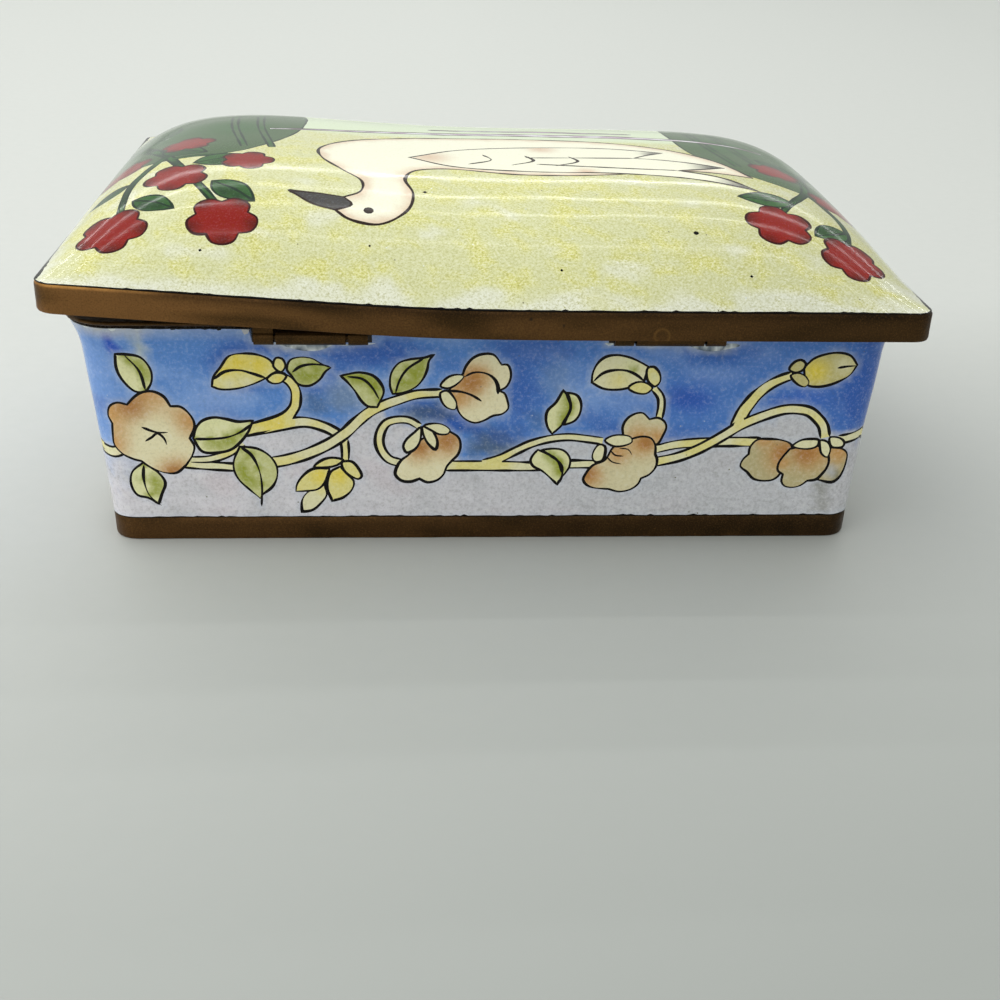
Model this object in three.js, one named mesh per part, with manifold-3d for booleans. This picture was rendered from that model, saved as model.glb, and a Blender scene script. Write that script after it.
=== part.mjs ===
// A small painted enamel box: a metal tray with brass rims and a domed lid on two hinges.
// Millimetres, +Z up, +X along the length. The hinge side faces -Y, and the box stands at Z = 0.
import * as THREE from 'three';
import { mergeVertices } from 'three/addons/utils/BufferGeometryUtils.js';
import Module from 'manifold-3d';

// Driving sizes of the tray
const FOOT_LENGTH = 92.8;
const FOOT_DEPTH = 64.6;
const FOOT_CORNER = 3;
const WALL_TOP = 28.7;
const WALL_THICKNESS = 1.5;
const WALL_LEAN = 2.1;
const LEAN_POWER = 1.25;
const LIP_FLARE = 0.8;
const LIP_HEIGHT = 4;
const BAND_HEIGHT = 3.1;
const BAND_THICKNESS = 1.2;
const BAND_BEVEL = 0.25;
const FLOOR_UNDERSIDE = 1.2;
const FLOOR_TOP = 2.6;
const COVE_SIZE = 2.4;
const MOUTH_RIM_PROUD = 0.4;
const MOUTH_RIM_HEIGHT = 0.5;
const MOUTH_RIM_BEVEL = 0.15;

// Driving sizes of the lid, whose left end has sprung up
const LID_LENGTH = 102;
const LID_DEPTH = 77;
const LID_CORNER = 2.2;
const LID_RIM_BOTTOM = 28.4;
const LID_RIM_HEIGHT = 4;
const LID_RIM_WALL = 0.8;
const LID_RIM_BEVEL = 0.2;
const LEDGE_BOTTOM = 29.8;
const LEDGE_THICKNESS = 0.8;
const LEDGE_REACH = 4.2;
const PANEL_THICKNESS = 1.4;
const DOME_RISE = 9.6;
const DOME_END_POWER = 7;
const DOME_SIDE_POWER = 3;
const LIFT_SLOPE = 0.068;
const LIFT_FROM_X = -6;
const LIFT_BLEND = 8;

// Driving sizes of the two hinges
const HINGE_X = 20.7;
const HINGE_Y = -35.9;
const HINGE_Z = 27.95;
const HINGE_LENGTH = 13;
const KNUCKLE_RADIUS = 0.9;
const BORE_RADIUS = 0.65;
const PIN_RADIUS = 0.35;
const BASE_KNUCKLE_LENGTH = 7.9;
const LEAF_DEPTH = 1;
const LEAF_RISE = 0.65;
const PLATE_BOTTOM = 29.1;
const PLATE_THICKNESS = 0.4;
const PLATE_HALF_DEPTH = 1.05;
const ARM_HALF_DEPTH = 0.6;
const NOTCH_CLEARANCE = 0.4;

// How finely the round forms are cut
const GAP = 0.3;
const MIN_CORNER = 0.4;
const CORNER_STEPS = 5;
const LID_RUN_CUTS = 9;
const WALL_CUTS = 9;
const COVE_CUTS = 4;
const DOME_CUTS = 10;
const DOME_CENTRE = 0.03;
const ROUND_SIDES = 18;

const wasm = await Module();
wasm.setup();

const enamelBlue = { color: 0x7f9fd6, roughness: 0.25, metalness: 0 };
const enamelCream = { color: 0xe9e2ae, roughness: 0.2, metalness: 0 };
const agedBrass = { color: 0x7d5c30, roughness: 0.55, metalness: 0.9 };

// How far the wall stands outside the foot's outline at a height
function wallOffset(z) {
  const lip = Math.max(0, (z - WALL_TOP + LIP_HEIGHT) / LIP_HEIGHT);
  return WALL_LEAN * (z / WALL_TOP) ** LEAN_POWER + LIP_FLARE * lip ** 2;
}

// How far the sprung lid stands above its level seat at a place along the length
function lidLift(x) {
  const run = LIFT_FROM_X - x;
  return LIFT_SLOPE * (run + Math.hypot(run, LIFT_BLEND)) / 2;
}

// The rise of a pillow-shaped dome, from 0 at its edge to 1 at its middle
function domeShape(x, y, halfX, halfY) {
  return (1 - Math.abs(x / halfX) ** DOME_END_POWER) * (1 - Math.abs(y / halfY) ** DOME_SIDE_POWER);
}

// A rectangle with round corners, counter-clockwise from above, with its straight runs cut up
function roundedOutline(halfX, halfY, radius, runCuts) {
  const arcs = [0, 1, 2, 3].map((turn) => {
    const centreX = (turn < 2 ? 1 : -1) * (halfX - radius);
    const centreY = (turn % 3 === 0 ? -1 : 1) * (halfY - radius);
    return Array.from({ length: CORNER_STEPS + 1 }, (_, step) => {
      const angle = (turn - 1 + step / CORNER_STEPS) * Math.PI / 2;
      return new THREE.Vector2(centreX + radius * Math.cos(angle), centreY + radius * Math.sin(angle));
    });
  });
  return arcs.flatMap((arc, turn) => {
    const end = arc.at(-1);
    const next = arcs[(turn + 1) % arcs.length][0];
    const run = Array.from({ length: runCuts - 1 }, (_, i) => end.clone().lerp(next, (i + 1) / runCuts));
    return [...arc, ...run];
  });
}

function trayLoop(offset, z) {
  const corner = Math.max(FOOT_CORNER + offset, MIN_CORNER);
  const outline = roundedOutline(FOOT_LENGTH / 2 + offset, FOOT_DEPTH / 2 + offset, corner, 1);
  return outline.map((p) => new THREE.Vector3(p.x, p.y, z));
}

function lidLoop(inset, z) {
  const corner = Math.max(LID_CORNER - inset, MIN_CORNER);
  const outline = roundedOutline(LID_LENGTH / 2 - inset, LID_DEPTH / 2 - inset, corner, LID_RUN_CUTS);
  return outline.map((p) => new THREE.Vector3(p.x, p.y, z + lidLift(p.x)));
}

// Loops of a dome from its edge to its middle, closer together near the edge
function domeLoops(inset, edgeZ, rise) {
  const halfX = LID_LENGTH / 2 - inset;
  const halfY = LID_DEPTH / 2 - inset;
  const edge = lidLoop(inset, 0);
  return Array.from({ length: DOME_CUTS + 1 }, (_, cut) => {
    const scale = Math.max(1 - (cut / DOME_CUTS) ** 2, DOME_CENTRE);
    return edge.map((p) => {
      const x = p.x * scale;
      const y = p.y * scale;
      return new THREE.Vector3(x, y, edgeZ + rise * domeShape(x, y, halfX, halfY) + lidLift(x));
    });
  });
}

// A solid through a stack of loops, either a ring that closes on itself or capped at both ends
function loopSolid(loops, isRing) {
  const size = loops[0].length;
  const points = loops.flat();
  const triangles = [];
  const bands = isRing ? loops.length : loops.length - 1;
  for (let row = 0; row < bands; row += 1) {
    const above = (row + 1) % loops.length;
    for (let i = 0; i < size; i += 1) {
      const j = (i + 1) % size;
      triangles.push(row * size + i, row * size + j, above * size + j);
      triangles.push(row * size + i, above * size + j, above * size + i);
    }
  }
  if (!isRing) {
    const last = (loops.length - 1) * size;
    for (let i = 1; i < size - 1; i += 1) {
      triangles.push(0, i + 1, i);
      triangles.push(last, last + i, last + i + 1);
    }
  }
  const geometry = new THREE.BufferGeometry().setFromPoints(points);
  geometry.setIndex(triangles);
  return geometry;
}

function toManifold(geometry) {
  const bare = geometry.clone();
  bare.deleteAttribute('normal');
  bare.deleteAttribute('uv');
  const merged = mergeVertices(bare);
  const vertProperties = new Float32Array(merged.attributes.position.array);
  const triVerts = new Uint32Array(merged.index.array);
  return new wasm.Manifold(new wasm.Mesh({ numProp: 3, vertProperties, triVerts }));
}

function fromManifold(manifold) {
  const mesh = manifold.getMesh();
  const geometry = new THREE.BufferGeometry();
  geometry.setAttribute('position', new THREE.BufferAttribute(mesh.vertProperties, 3));
  geometry.setIndex(new THREE.BufferAttribute(mesh.triVerts, 1));
  return geometry;
}

function block(low, high) {
  const size = new THREE.Vector3().subVectors(high, low);
  const centre = new THREE.Vector3().addVectors(low, high).multiplyScalar(0.5);
  return new THREE.BoxGeometry(size.x, size.y, size.z).translate(centre.x, centre.y, centre.z);
}

// A round bar along the hinge axis
function hingeBar(x, radius, length) {
  const bar = new THREE.CylinderGeometry(radius, radius, length, ROUND_SIDES);
  return bar.rotateZ(Math.PI / 2).translate(x, HINGE_Y, HINGE_Z);
}

// The gap in the tray's top edge that a hinge lies in
function cutNotches(geometry) {
  const back = HINGE_Y + LEAF_DEPTH + GAP;
  const bottom = HINGE_Z - KNUCKLE_RADIUS - GAP;
  const halfLength = HINGE_LENGTH / 2 + NOTCH_CLEARANCE;
  return fromManifold([-HINGE_X, HINGE_X].reduce((left, x) => {
    const low = new THREE.Vector3(x - halfLength, -LID_DEPTH / 2, bottom);
    const high = new THREE.Vector3(x + halfLength, back, LEDGE_BOTTOM);
    return left.subtract(toManifold(block(low, high)));
  }, toManifold(geometry)));
}

function trayBody() {
  const shoulderZ = BAND_HEIGHT + GAP;
  const innerFoot = -BAND_THICKNESS - GAP;
  const coveTop = FLOOR_TOP + COVE_SIZE;
  const loops = [trayLoop(innerFoot, FLOOR_UNDERSIDE), trayLoop(innerFoot, shoulderZ)];
  for (let cut = 0; cut <= WALL_CUTS; cut += 1) {
    const z = THREE.MathUtils.lerp(shoulderZ, WALL_TOP, Math.sqrt(cut / WALL_CUTS));
    loops.push(trayLoop(wallOffset(z), z));
  }
  for (let cut = WALL_CUTS; cut >= 0; cut -= 1) {
    const z = THREE.MathUtils.lerp(coveTop, WALL_TOP, Math.sqrt(cut / WALL_CUTS));
    loops.push(trayLoop(wallOffset(z) - WALL_THICKNESS, z));
  }
  for (let cut = 1; cut <= COVE_CUTS; cut += 1) {
    const angle = (cut / COVE_CUTS) * Math.PI / 2;
    const inward = COVE_SIZE * (1 - Math.cos(angle));
    const z = coveTop - COVE_SIZE * Math.sin(angle);
    loops.push(trayLoop(wallOffset(coveTop) - WALL_THICKNESS - inward, z));
  }
  return cutNotches(loopSolid(loops, false));
}

function footBand() {
  return loopSolid([
    trayLoop(-BAND_THICKNESS, 0),
    trayLoop(-BAND_BEVEL, 0),
    trayLoop(0, BAND_BEVEL),
    trayLoop(wallOffset(BAND_HEIGHT), BAND_HEIGHT),
    trayLoop(-BAND_THICKNESS, BAND_HEIGHT),
  ], true);
}

function mouthRim() {
  const inner = wallOffset(WALL_TOP) - WALL_THICKNESS;
  const outer = wallOffset(WALL_TOP) + MOUTH_RIM_PROUD;
  const bottom = WALL_TOP + GAP;
  const top = bottom + MOUTH_RIM_HEIGHT;
  return cutNotches(loopSolid([
    trayLoop(inner, bottom),
    trayLoop(outer - MOUTH_RIM_BEVEL, bottom),
    trayLoop(outer, bottom + MOUTH_RIM_BEVEL),
    trayLoop(outer, top - MOUTH_RIM_BEVEL),
    trayLoop(outer - MOUTH_RIM_BEVEL, top),
    trayLoop(inner, top),
  ], true));
}

function lidRim() {
  const top = LID_RIM_BOTTOM + LID_RIM_HEIGHT;
  const ledgeTop = LEDGE_BOTTOM + LEDGE_THICKNESS;
  return loopSolid([
    lidLoop(LID_RIM_WALL, LID_RIM_BOTTOM),
    lidLoop(LID_RIM_BEVEL, LID_RIM_BOTTOM),
    lidLoop(0, LID_RIM_BOTTOM + LID_RIM_BEVEL),
    lidLoop(0, top - LID_RIM_BEVEL),
    lidLoop(LID_RIM_BEVEL, top),
    lidLoop(LID_RIM_WALL, top),
    lidLoop(LID_RIM_WALL, ledgeTop),
    lidLoop(LEDGE_REACH, ledgeTop),
    lidLoop(LEDGE_REACH, LEDGE_BOTTOM),
    lidLoop(LID_RIM_WALL, LEDGE_BOTTOM),
  ], true);
}

function lidPanel() {
  const inset = LID_RIM_WALL + GAP;
  const edgeTop = LID_RIM_BOTTOM + LID_RIM_HEIGHT;
  const edgeBottom = LEDGE_BOTTOM + LEDGE_THICKNESS + GAP;
  const innerRise = edgeTop + DOME_RISE - PANEL_THICKNESS - edgeBottom;
  const under = domeLoops(inset + PANEL_THICKNESS, edgeBottom, innerRise).reverse();
  return loopSolid([
    ...under,
    lidLoop(inset, edgeBottom),
    ...domeLoops(inset, edgeTop, DOME_RISE),
  ], false);
}

function bored(manifold, x) {
  return manifold.subtract(toManifold(hingeBar(x, BORE_RADIUS, 2 * HINGE_LENGTH)));
}

// The middle knuckle and its foot, which is fixed to the back of the notch
function baseLeaf(x) {
  const half = BASE_KNUCKLE_LENGTH / 2;
  const low = new THREE.Vector3(x - half, HINGE_Y, HINGE_Z - KNUCKLE_RADIUS);
  const high = new THREE.Vector3(x + half, HINGE_Y + LEAF_DEPTH, HINGE_Z + LEAF_RISE);
  const knuckle = toManifold(hingeBar(x, KNUCKLE_RADIUS, BASE_KNUCKLE_LENGTH));
  return fromManifold(bored(knuckle.add(toManifold(block(low, high))), x));
}

// The two outer knuckles, hung on arms from a plate that follows the lid's sprung rim
function lidLeaf(x) {
  const plateTop = PLATE_BOTTOM + PLATE_THICKNESS;
  const halfLength = HINGE_LENGTH / 2;
  const plateLow = new THREE.Vector3(x - halfLength, HINGE_Y - PLATE_HALF_DEPTH, PLATE_BOTTOM);
  const plateHigh = new THREE.Vector3(x + halfLength, HINGE_Y + PLATE_HALF_DEPTH, plateTop);
  const innerEnd = BASE_KNUCKLE_LENGTH / 2 + GAP;
  const knuckleLength = halfLength - innerEnd;
  const joined = [-1, 1].reduce((leaf, side) => {
    const middle = x + side * (innerEnd + knuckleLength / 2);
    const low = new THREE.Vector3(middle - knuckleLength / 2, HINGE_Y - ARM_HALF_DEPTH, HINGE_Z);
    const high = new THREE.Vector3(middle + knuckleLength / 2, HINGE_Y + ARM_HALF_DEPTH, plateTop);
    const knuckle = toManifold(hingeBar(middle, KNUCKLE_RADIUS, knuckleLength));
    return leaf.add(knuckle).add(toManifold(block(low, high)));
  }, toManifold(block(plateLow, plateHigh)));
  const geometry = fromManifold(bored(joined, x));
  const position = geometry.attributes.position;
  for (let i = 0; i < position.count; i += 1) {
    const onPlate = position.getZ(i) > HINGE_Z + KNUCKLE_RADIUS;
    if (onPlate) position.setZ(i, position.getZ(i) + lidLift(position.getX(i)));
  }
  return geometry;
}

function piece(name, geometry, look) {
  const mesh = new THREE.Mesh(geometry, new THREE.MeshStandardMaterial(look));
  geometry.computeVertexNormals();
  mesh.name = name;
  return mesh;
}

const tray = new THREE.Group();
tray.add(piece('base_body', trayBody(), enamelBlue));
tray.add(piece('base_foot_band', footBand(), agedBrass));
tray.add(piece('base_top_rim', mouthRim(), agedBrass));

const lid = new THREE.Group();
lid.add(piece('lid_panel', lidPanel(), enamelCream));
lid.add(piece('lid_rim', lidRim(), agedBrass));

const hinges = { left: -HINGE_X, right: HINGE_X };
Object.entries(hinges).forEach(([side, x]) => {
  tray.add(piece(`hinge_${side}_base_leaf`, baseLeaf(x), agedBrass));
  tray.add(piece(`hinge_${side}_pin`, hingeBar(x, PIN_RADIUS, HINGE_LENGTH), agedBrass));
  lid.add(piece(`hinge_${side}_lid_leaf`, lidLeaf(x), agedBrass));
});

const enamelBox = new THREE.Group();
enamelBox.add(tray, lid);

export default enamelBox;
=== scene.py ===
"""Looks of the painted enamel hinged box: painted walls and lid, aged brass, stage, light and camera.

The drawings are laid out in millimetres on unrolled surfaces, cut into a mesh along every brush line, and
bent onto the walls and the lid, so that the painting lies flush in the surface that carries it.
"""

import math

import bpy
import numpy as np
from mathutils import Matrix, Vector, noise
from mathutils.geometry import delaunay_2d_cdt
from mathutils.kdtree import KDTree


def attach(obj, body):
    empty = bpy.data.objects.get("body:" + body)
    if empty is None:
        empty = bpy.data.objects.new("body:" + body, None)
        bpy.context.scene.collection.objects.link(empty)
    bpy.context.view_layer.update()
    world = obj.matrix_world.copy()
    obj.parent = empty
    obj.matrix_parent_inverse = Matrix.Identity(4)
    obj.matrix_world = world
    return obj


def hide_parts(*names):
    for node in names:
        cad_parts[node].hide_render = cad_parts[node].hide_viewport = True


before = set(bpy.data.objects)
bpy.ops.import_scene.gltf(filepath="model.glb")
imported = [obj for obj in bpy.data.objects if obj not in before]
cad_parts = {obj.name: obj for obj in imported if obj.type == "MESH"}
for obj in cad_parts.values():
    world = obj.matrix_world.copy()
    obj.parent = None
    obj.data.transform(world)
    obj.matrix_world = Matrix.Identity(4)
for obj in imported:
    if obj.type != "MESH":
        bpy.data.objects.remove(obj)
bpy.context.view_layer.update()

# Sizes of the box, in millimetres
MM = 0.001
FOOT_HALF_X = 46.4
FOOT_HALF_Y = 32.3
FOOT_CORNER = 3.0
WALL_TOP = 28.7
WALL_BOTTOM = 3.1
WALL_THICKNESS = 1.5
WALL_LEAN = 2.1
LEAN_POWER = 1.25
LIP_FLARE = 0.8
LIP_HEIGHT = 4.0
BAND_THICKNESS = 1.2
FLOOR_UNDERSIDE = 1.2
FLOOR_TOP = 2.6
COVE = 2.4
NOTCH_X = 20.7
NOTCH_HALF = 6.9
NOTCH_BACK = 34.6
NOTCH_BOTTOM = 26.75
NOTCH_SLACK = 0.01
RIM_BED = 0.3
WALL_COLUMNS = 380
WALL_ROWS = 28
RIM_HALF_X = 51.0
RIM_HALF_Y = 38.5
RIM_CORNER = 2.2
RIM_BOTTOM = 28.4
RIM_TOP = 32.4
RIM_WALL = 0.8
LEDGE_BOTTOM = 29.8
LEDGE_TOP = 30.6
LEDGE_REACH = 4.2
PANEL_INSET = 1.1
PANEL_UNDERSIDE = 30.9
PANEL_THICKNESS = 1.4
DOME_RISE = 9.6
END_POWER = 7.0
SIDE_POWER = 3.0
LIFT_SLOPE = 0.068
LIFT_FROM = -6.0
LIFT_BLEND = 8.0
SMALLEST_RADIUS = 0.05

# Distances that count as nothing, and the digits of a place that tell two points apart
TINY = 1e-9
SAME_PLACE = 1e-4
MERGE_GAP = 1e-3
MERGE_DIGITS = 3


# Numbers and colours

NOISE_GAIN = 1.6


def colour(red, green, blue):
    """A screen colour of 0 to 255 a channel as linear light."""
    share = np.array([red, green, blue]) / 255
    return np.where(share > 0.04045, ((share + 0.055) / 1.055) ** 2.4, share / 12.92)


def step_up(low, high, value):
    """Smooth step from 0 at low to 1 at high."""
    t = np.clip((value - low) / (high - low), 0, 1)
    return t * t * (3 - 2 * t)


def mix(first, second, share):
    """Blend of two colours, or rows of colours, by a share for each row."""
    share = np.asarray(share)[..., None]
    return first * (1 - share) + second * share


def cloud(points, size, seed):
    """Soft noise between about -1 and 1 at each point, with blotches of about the given size."""
    spread = np.asarray(points) / size
    return np.array([noise.noise((x, y, seed)) for x, y in spread]) * NOISE_GAIN


def wander(run, pace, seed):
    """Noise along a line, with so many changes a millimetre."""
    return np.array([noise.noise((s * pace, seed, 0.5)) for s in run])


INK = colour(9, 5, 4)
BLUE = colour(94, 146, 222)
DEEP_BLUE = colour(52, 100, 190)
PALE_BLUE = colour(150, 184, 242)
COBALT = colour(40, 88, 205)
SLATE = colour(78, 98, 122)
PALE_SLATE = colour(128, 152, 186)
LILAC = colour(230, 226, 233)
GREY_LILAC = colour(200, 201, 206)
ROSE_LILAC = colour(226, 213, 220)
CREAM = colour(244, 238, 192)
STRAW = colour(244, 232, 150)
YELLOW = colour(250, 224, 70)
LEAF_PALE = colour(242, 240, 184)
LEAF_GREEN = colour(158, 166, 44)
LEAF_MIDDLE = mix(LEAF_PALE, LEAF_GREEN, 0.4)
# Painted shade: a darker straw for the bud on the right of the front.
STRAW_IN_SHADE = colour(214, 203, 136)
HALO = colour(206, 214, 230)
PETAL = colour(248, 238, 196)
# Painted shade: a darker petal colour for the flowers on the right of the front.
PETAL_IN_SHADE = colour(202, 188, 142)
PEACH = colour(214, 158, 90)
BROWN_PEACH = colour(184, 124, 62)
FILLER = colour(232, 238, 240)
DIRT = colour(112, 108, 84)
LID_CREAM = colour(207, 209, 174)
LID_WHITE = colour(224, 225, 208)
LID_YELLOW = colour(220, 214, 92)
LID_GRAIN = colour(150, 146, 62)
SAGE = colour(66, 92, 56)
MINT = colour(216, 228, 198)
BIRD_CREAM = colour(242, 240, 218)
BIRD_EDGE = colour(218, 190, 164)
CHARCOAL = colour(62, 60, 62)
RIBBON = colour(188, 168, 184)
RED = colour(136, 14, 8)
DARK_RED = colour(82, 6, 4)
WINE = colour(54, 12, 10)
GREEN = colour(44, 90, 38)
DARK_GREEN = colour(18, 54, 26)
PINE = colour(20, 44, 28)
UMBER = colour(44, 30, 24)
INSIDE = colour(206, 214, 214)
BARE_EDGE = colour(46, 36, 26)
GRAIN_WHITE = colour(250, 250, 246)
BRASS = colour(134, 94, 52)
DARK_BRASS = colour(82, 57, 26)
OLD_BRASS = colour(38, 27, 9)
GOLD = colour(196, 142, 76)


# Flat drawing: steps along a curve, then how a brush line wavers and tapers, in millimetres or shares

FINE = 0.32
COARSE = 0.5
LINE_PACE = 0.45
LINE_UNEVEN = 0.8
LINE_TIP = 0.25
LINE_TAPER = 0.6
RIB_SHADE = 0.9
SIDE_SHADE = 1.3
SIDE_SHADE_SHARE = 0.6


def curve(points, closed=False, step=FINE):
    """Points along the smooth curve that passes through the given ones."""
    p = np.array(points, float)
    if closed:
        p = np.vstack([p[-1], p, p[:2]])
    else:
        p = np.vstack([2 * p[0] - p[1], p, 2 * p[-1] - p[-2]])
    reach = np.linalg.norm(np.diff(p, axis=0), axis=1)
    gap = np.sqrt(reach)
    runs = []
    for i in range(1, len(p) - 2):
        before = (p[i] - p[i - 1]) / gap[i - 1]
        here = (p[i + 1] - p[i]) / gap[i]
        after = (p[i + 2] - p[i + 1]) / gap[i + 1]
        leave = gap[i] * (before - (p[i + 1] - p[i - 1]) / (gap[i - 1] + gap[i]) + here)
        arrive = gap[i] * (here - (p[i + 2] - p[i]) / (gap[i] + gap[i + 1]) + after)
        t = np.arange(0, 1, 1 / max(1, round(reach[i] / step)))[:, None]
        start = p[i] * (2 * t**3 - 3 * t**2 + 1) + leave * (t**3 - 2 * t**2 + t)
        runs.append(start + p[i + 1] * (3 * t**2 - 2 * t**3) + arrive * (t**3 - t**2))
    if not closed:
        runs.append(p[-2:-1])
    return np.vstack(runs)


def joined(*arcs):
    """Closed outline of smooth arcs that meet at corners; each arc starts where the last one ended."""
    return np.vstack([arc[:-1] for arc in arcs])


def normals(path, closed):
    """Unit vectors to the left of a path at each of its points."""
    if closed:
        along = np.roll(path, -1, axis=0) - np.roll(path, 1, axis=0)
    else:
        along = np.gradient(path, axis=0)
    along /= np.maximum(np.linalg.norm(along, axis=1), TINY)[:, None]
    return np.column_stack([-along[:, 1], along[:, 0]])


def inside(outline, points):
    """Which points lie inside a closed outline."""
    x, y = points.T
    hit = np.zeros(len(points), bool)
    for (x0, y0), (x1, y1) in zip(outline, np.roll(outline, -1, axis=0)):
        if y0 != y1:
            hit ^= ((y0 > y) != (y1 > y)) & (x < x0 + (y - y0) / (y1 - y0) * (x1 - x0))
    return hit


def to_segment(points, start, end):
    """Distance from each point to a straight piece of a path, and the share of it at the nearest place."""
    along = end - start
    share = np.clip((points - start) @ along / max(along @ along, TINY), 0, 1)
    return np.linalg.norm(points - start - share[:, None] * along, axis=1), share


def distance(path, points):
    """Distance from each point to a path."""
    return np.min([to_segment(points, a, b)[0] for a, b in zip(path, path[1:])], axis=0)


def on_line(path, half, points):
    """Which points lie within the half width of a brush line."""
    hit = np.zeros(len(points), bool)
    for a, b, first, last in zip(path, path[1:], half, half[1:]):
        gap, share = to_segment(points, a, b)
        hit |= gap < first + (last - first) * share
    return hit


class Picture:
    """Fills and brush lines in the order in which they are painted."""

    def __init__(self):
        self.layers = []

    def fill(self, outline, paint):
        self.layers.append((outline, None, paint, [np.vstack([outline, outline[:1]])]))

    def line(self, path, half, closed, paint):
        left = normals(path, closed) * half[:, None]
        edges = [path + left, path - left]
        if closed:
            edges = [np.vstack([edge, edge[:1]]) for edge in edges]
            path = np.vstack([path, path[:1]])
            half = np.append(half, half[0])
        else:
            edges = [np.vstack([edges[0], edges[1][::-1], edges[0][:1]])]
        self.layers.append((path, half, paint, edges))

    def cut(self, border, grid, hold):
        """Triangles of the area inside a convex border, cut along every painted edge that hold keeps in it.
        Returns the points, the triangles and the number of each triangle's layer, -1 for the ground."""
        points = [border]
        edges = [(i, (i + 1) % len(border)) for i in range(len(border))]
        total = len(border)
        for layer in self.layers:
            for run in layer[3]:
                points.append(hold(run))
                edges += [(total + i, total + i + 1) for i in range(len(run) - 1)]
                total += len(run)
        points.append(grid)
        flat = [Vector(p) for p in np.vstack(points)]
        made = delaunay_2d_cdt(flat, edges, [], 0, MERGE_GAP)
        points = np.array([tuple(p) for p in made[0]])
        _, first, same = np.unique(points.round(MERGE_DIGITS), axis=0, return_index=True,
                    return_inverse=True)
        points = points[first]
        triangles = same.ravel()[np.array([tuple(f) for f in made[2]])]
        triangles = triangles[np.all(triangles != np.roll(triangles, 1, axis=1), axis=1)]
        middles = points[triangles].mean(axis=1)
        owner = np.full(len(triangles), -1)
        for number, (path, half, _, _) in enumerate(self.layers):
            margin = 0 if half is None else half.max()
            past_low = middles > path.min(axis=0) - margin
            under_high = middles < path.max(axis=0) + margin
            near = np.flatnonzero(np.all(past_low & under_high, axis=1))
            hit = inside(path, middles[near]) if half is None else on_line(path, half, middles[near])
            owner[near[hit]] = number
        return points, triangles, owner

    def colours(self, points, triangles, owner, ground):
        """Colour and grain of each corner of each triangle."""
        out = np.zeros((len(triangles), 3, 4))
        for number in np.unique(owner):
            paint = ground if number < 0 else self.layers[number][2]
            rows = np.flatnonzero(owner == number)
            used, back = np.unique(triangles[rows], return_inverse=True)
            out[rows] = paint(points[used])[back.reshape(-1, 3)]
        return out.reshape(-1, 4)


def with_grain(rgb, grain):
    """Rows of colour with the grain of each row as the fourth number."""
    return np.column_stack([rgb, np.broadcast_to(grain, len(rgb))])


def plain(tone, grain):
    """Paint of one colour, slightly uneven."""
    def paint(points):
        rows = np.repeat(tone[None], len(points), axis=0)
        return with_grain(rows * (1 + 0.06 * cloud(points, 1.5, 5.0))[:, None], grain)
    return paint


def shaded(tone, spots, grain):
    """Paint of one colour with soft spots, each a place, a radius and a colour."""
    def paint(points):
        rows = np.repeat(tone[None], len(points), axis=0)
        for x, y, radius, spot in spots:
            gap = np.hypot(points[:, 0] - x, points[:, 1] - y) / radius
            gap += 0.05 * cloud(points, 0.7, x)
            rows = mix(rows, spot, 0.95 * (1 - step_up(0.0, 1.0, gap)))
        return with_grain(rows, grain)
    return paint


def clouded(tone, other, grain, size=3.0):
    """Paint that wanders between two colours."""
    def paint(points):
        return with_grain(mix(tone, other, step_up(-0.4, 0.6, cloud(points, size, 4.0))), grain)
    return paint


def edged(tone, edge, path, width, grain):
    """Paint of one colour that turns to another towards an outline."""
    def paint(points):
        gap = distance(path, points) + 0.25 * width * cloud(points, 2.0, 8.0)
        rows = np.repeat(tone[None], len(points), axis=0)
        return with_grain(mix(rows, edge, 0.8 * (1 - step_up(0.0, width, gap))), grain)
    return paint


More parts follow.
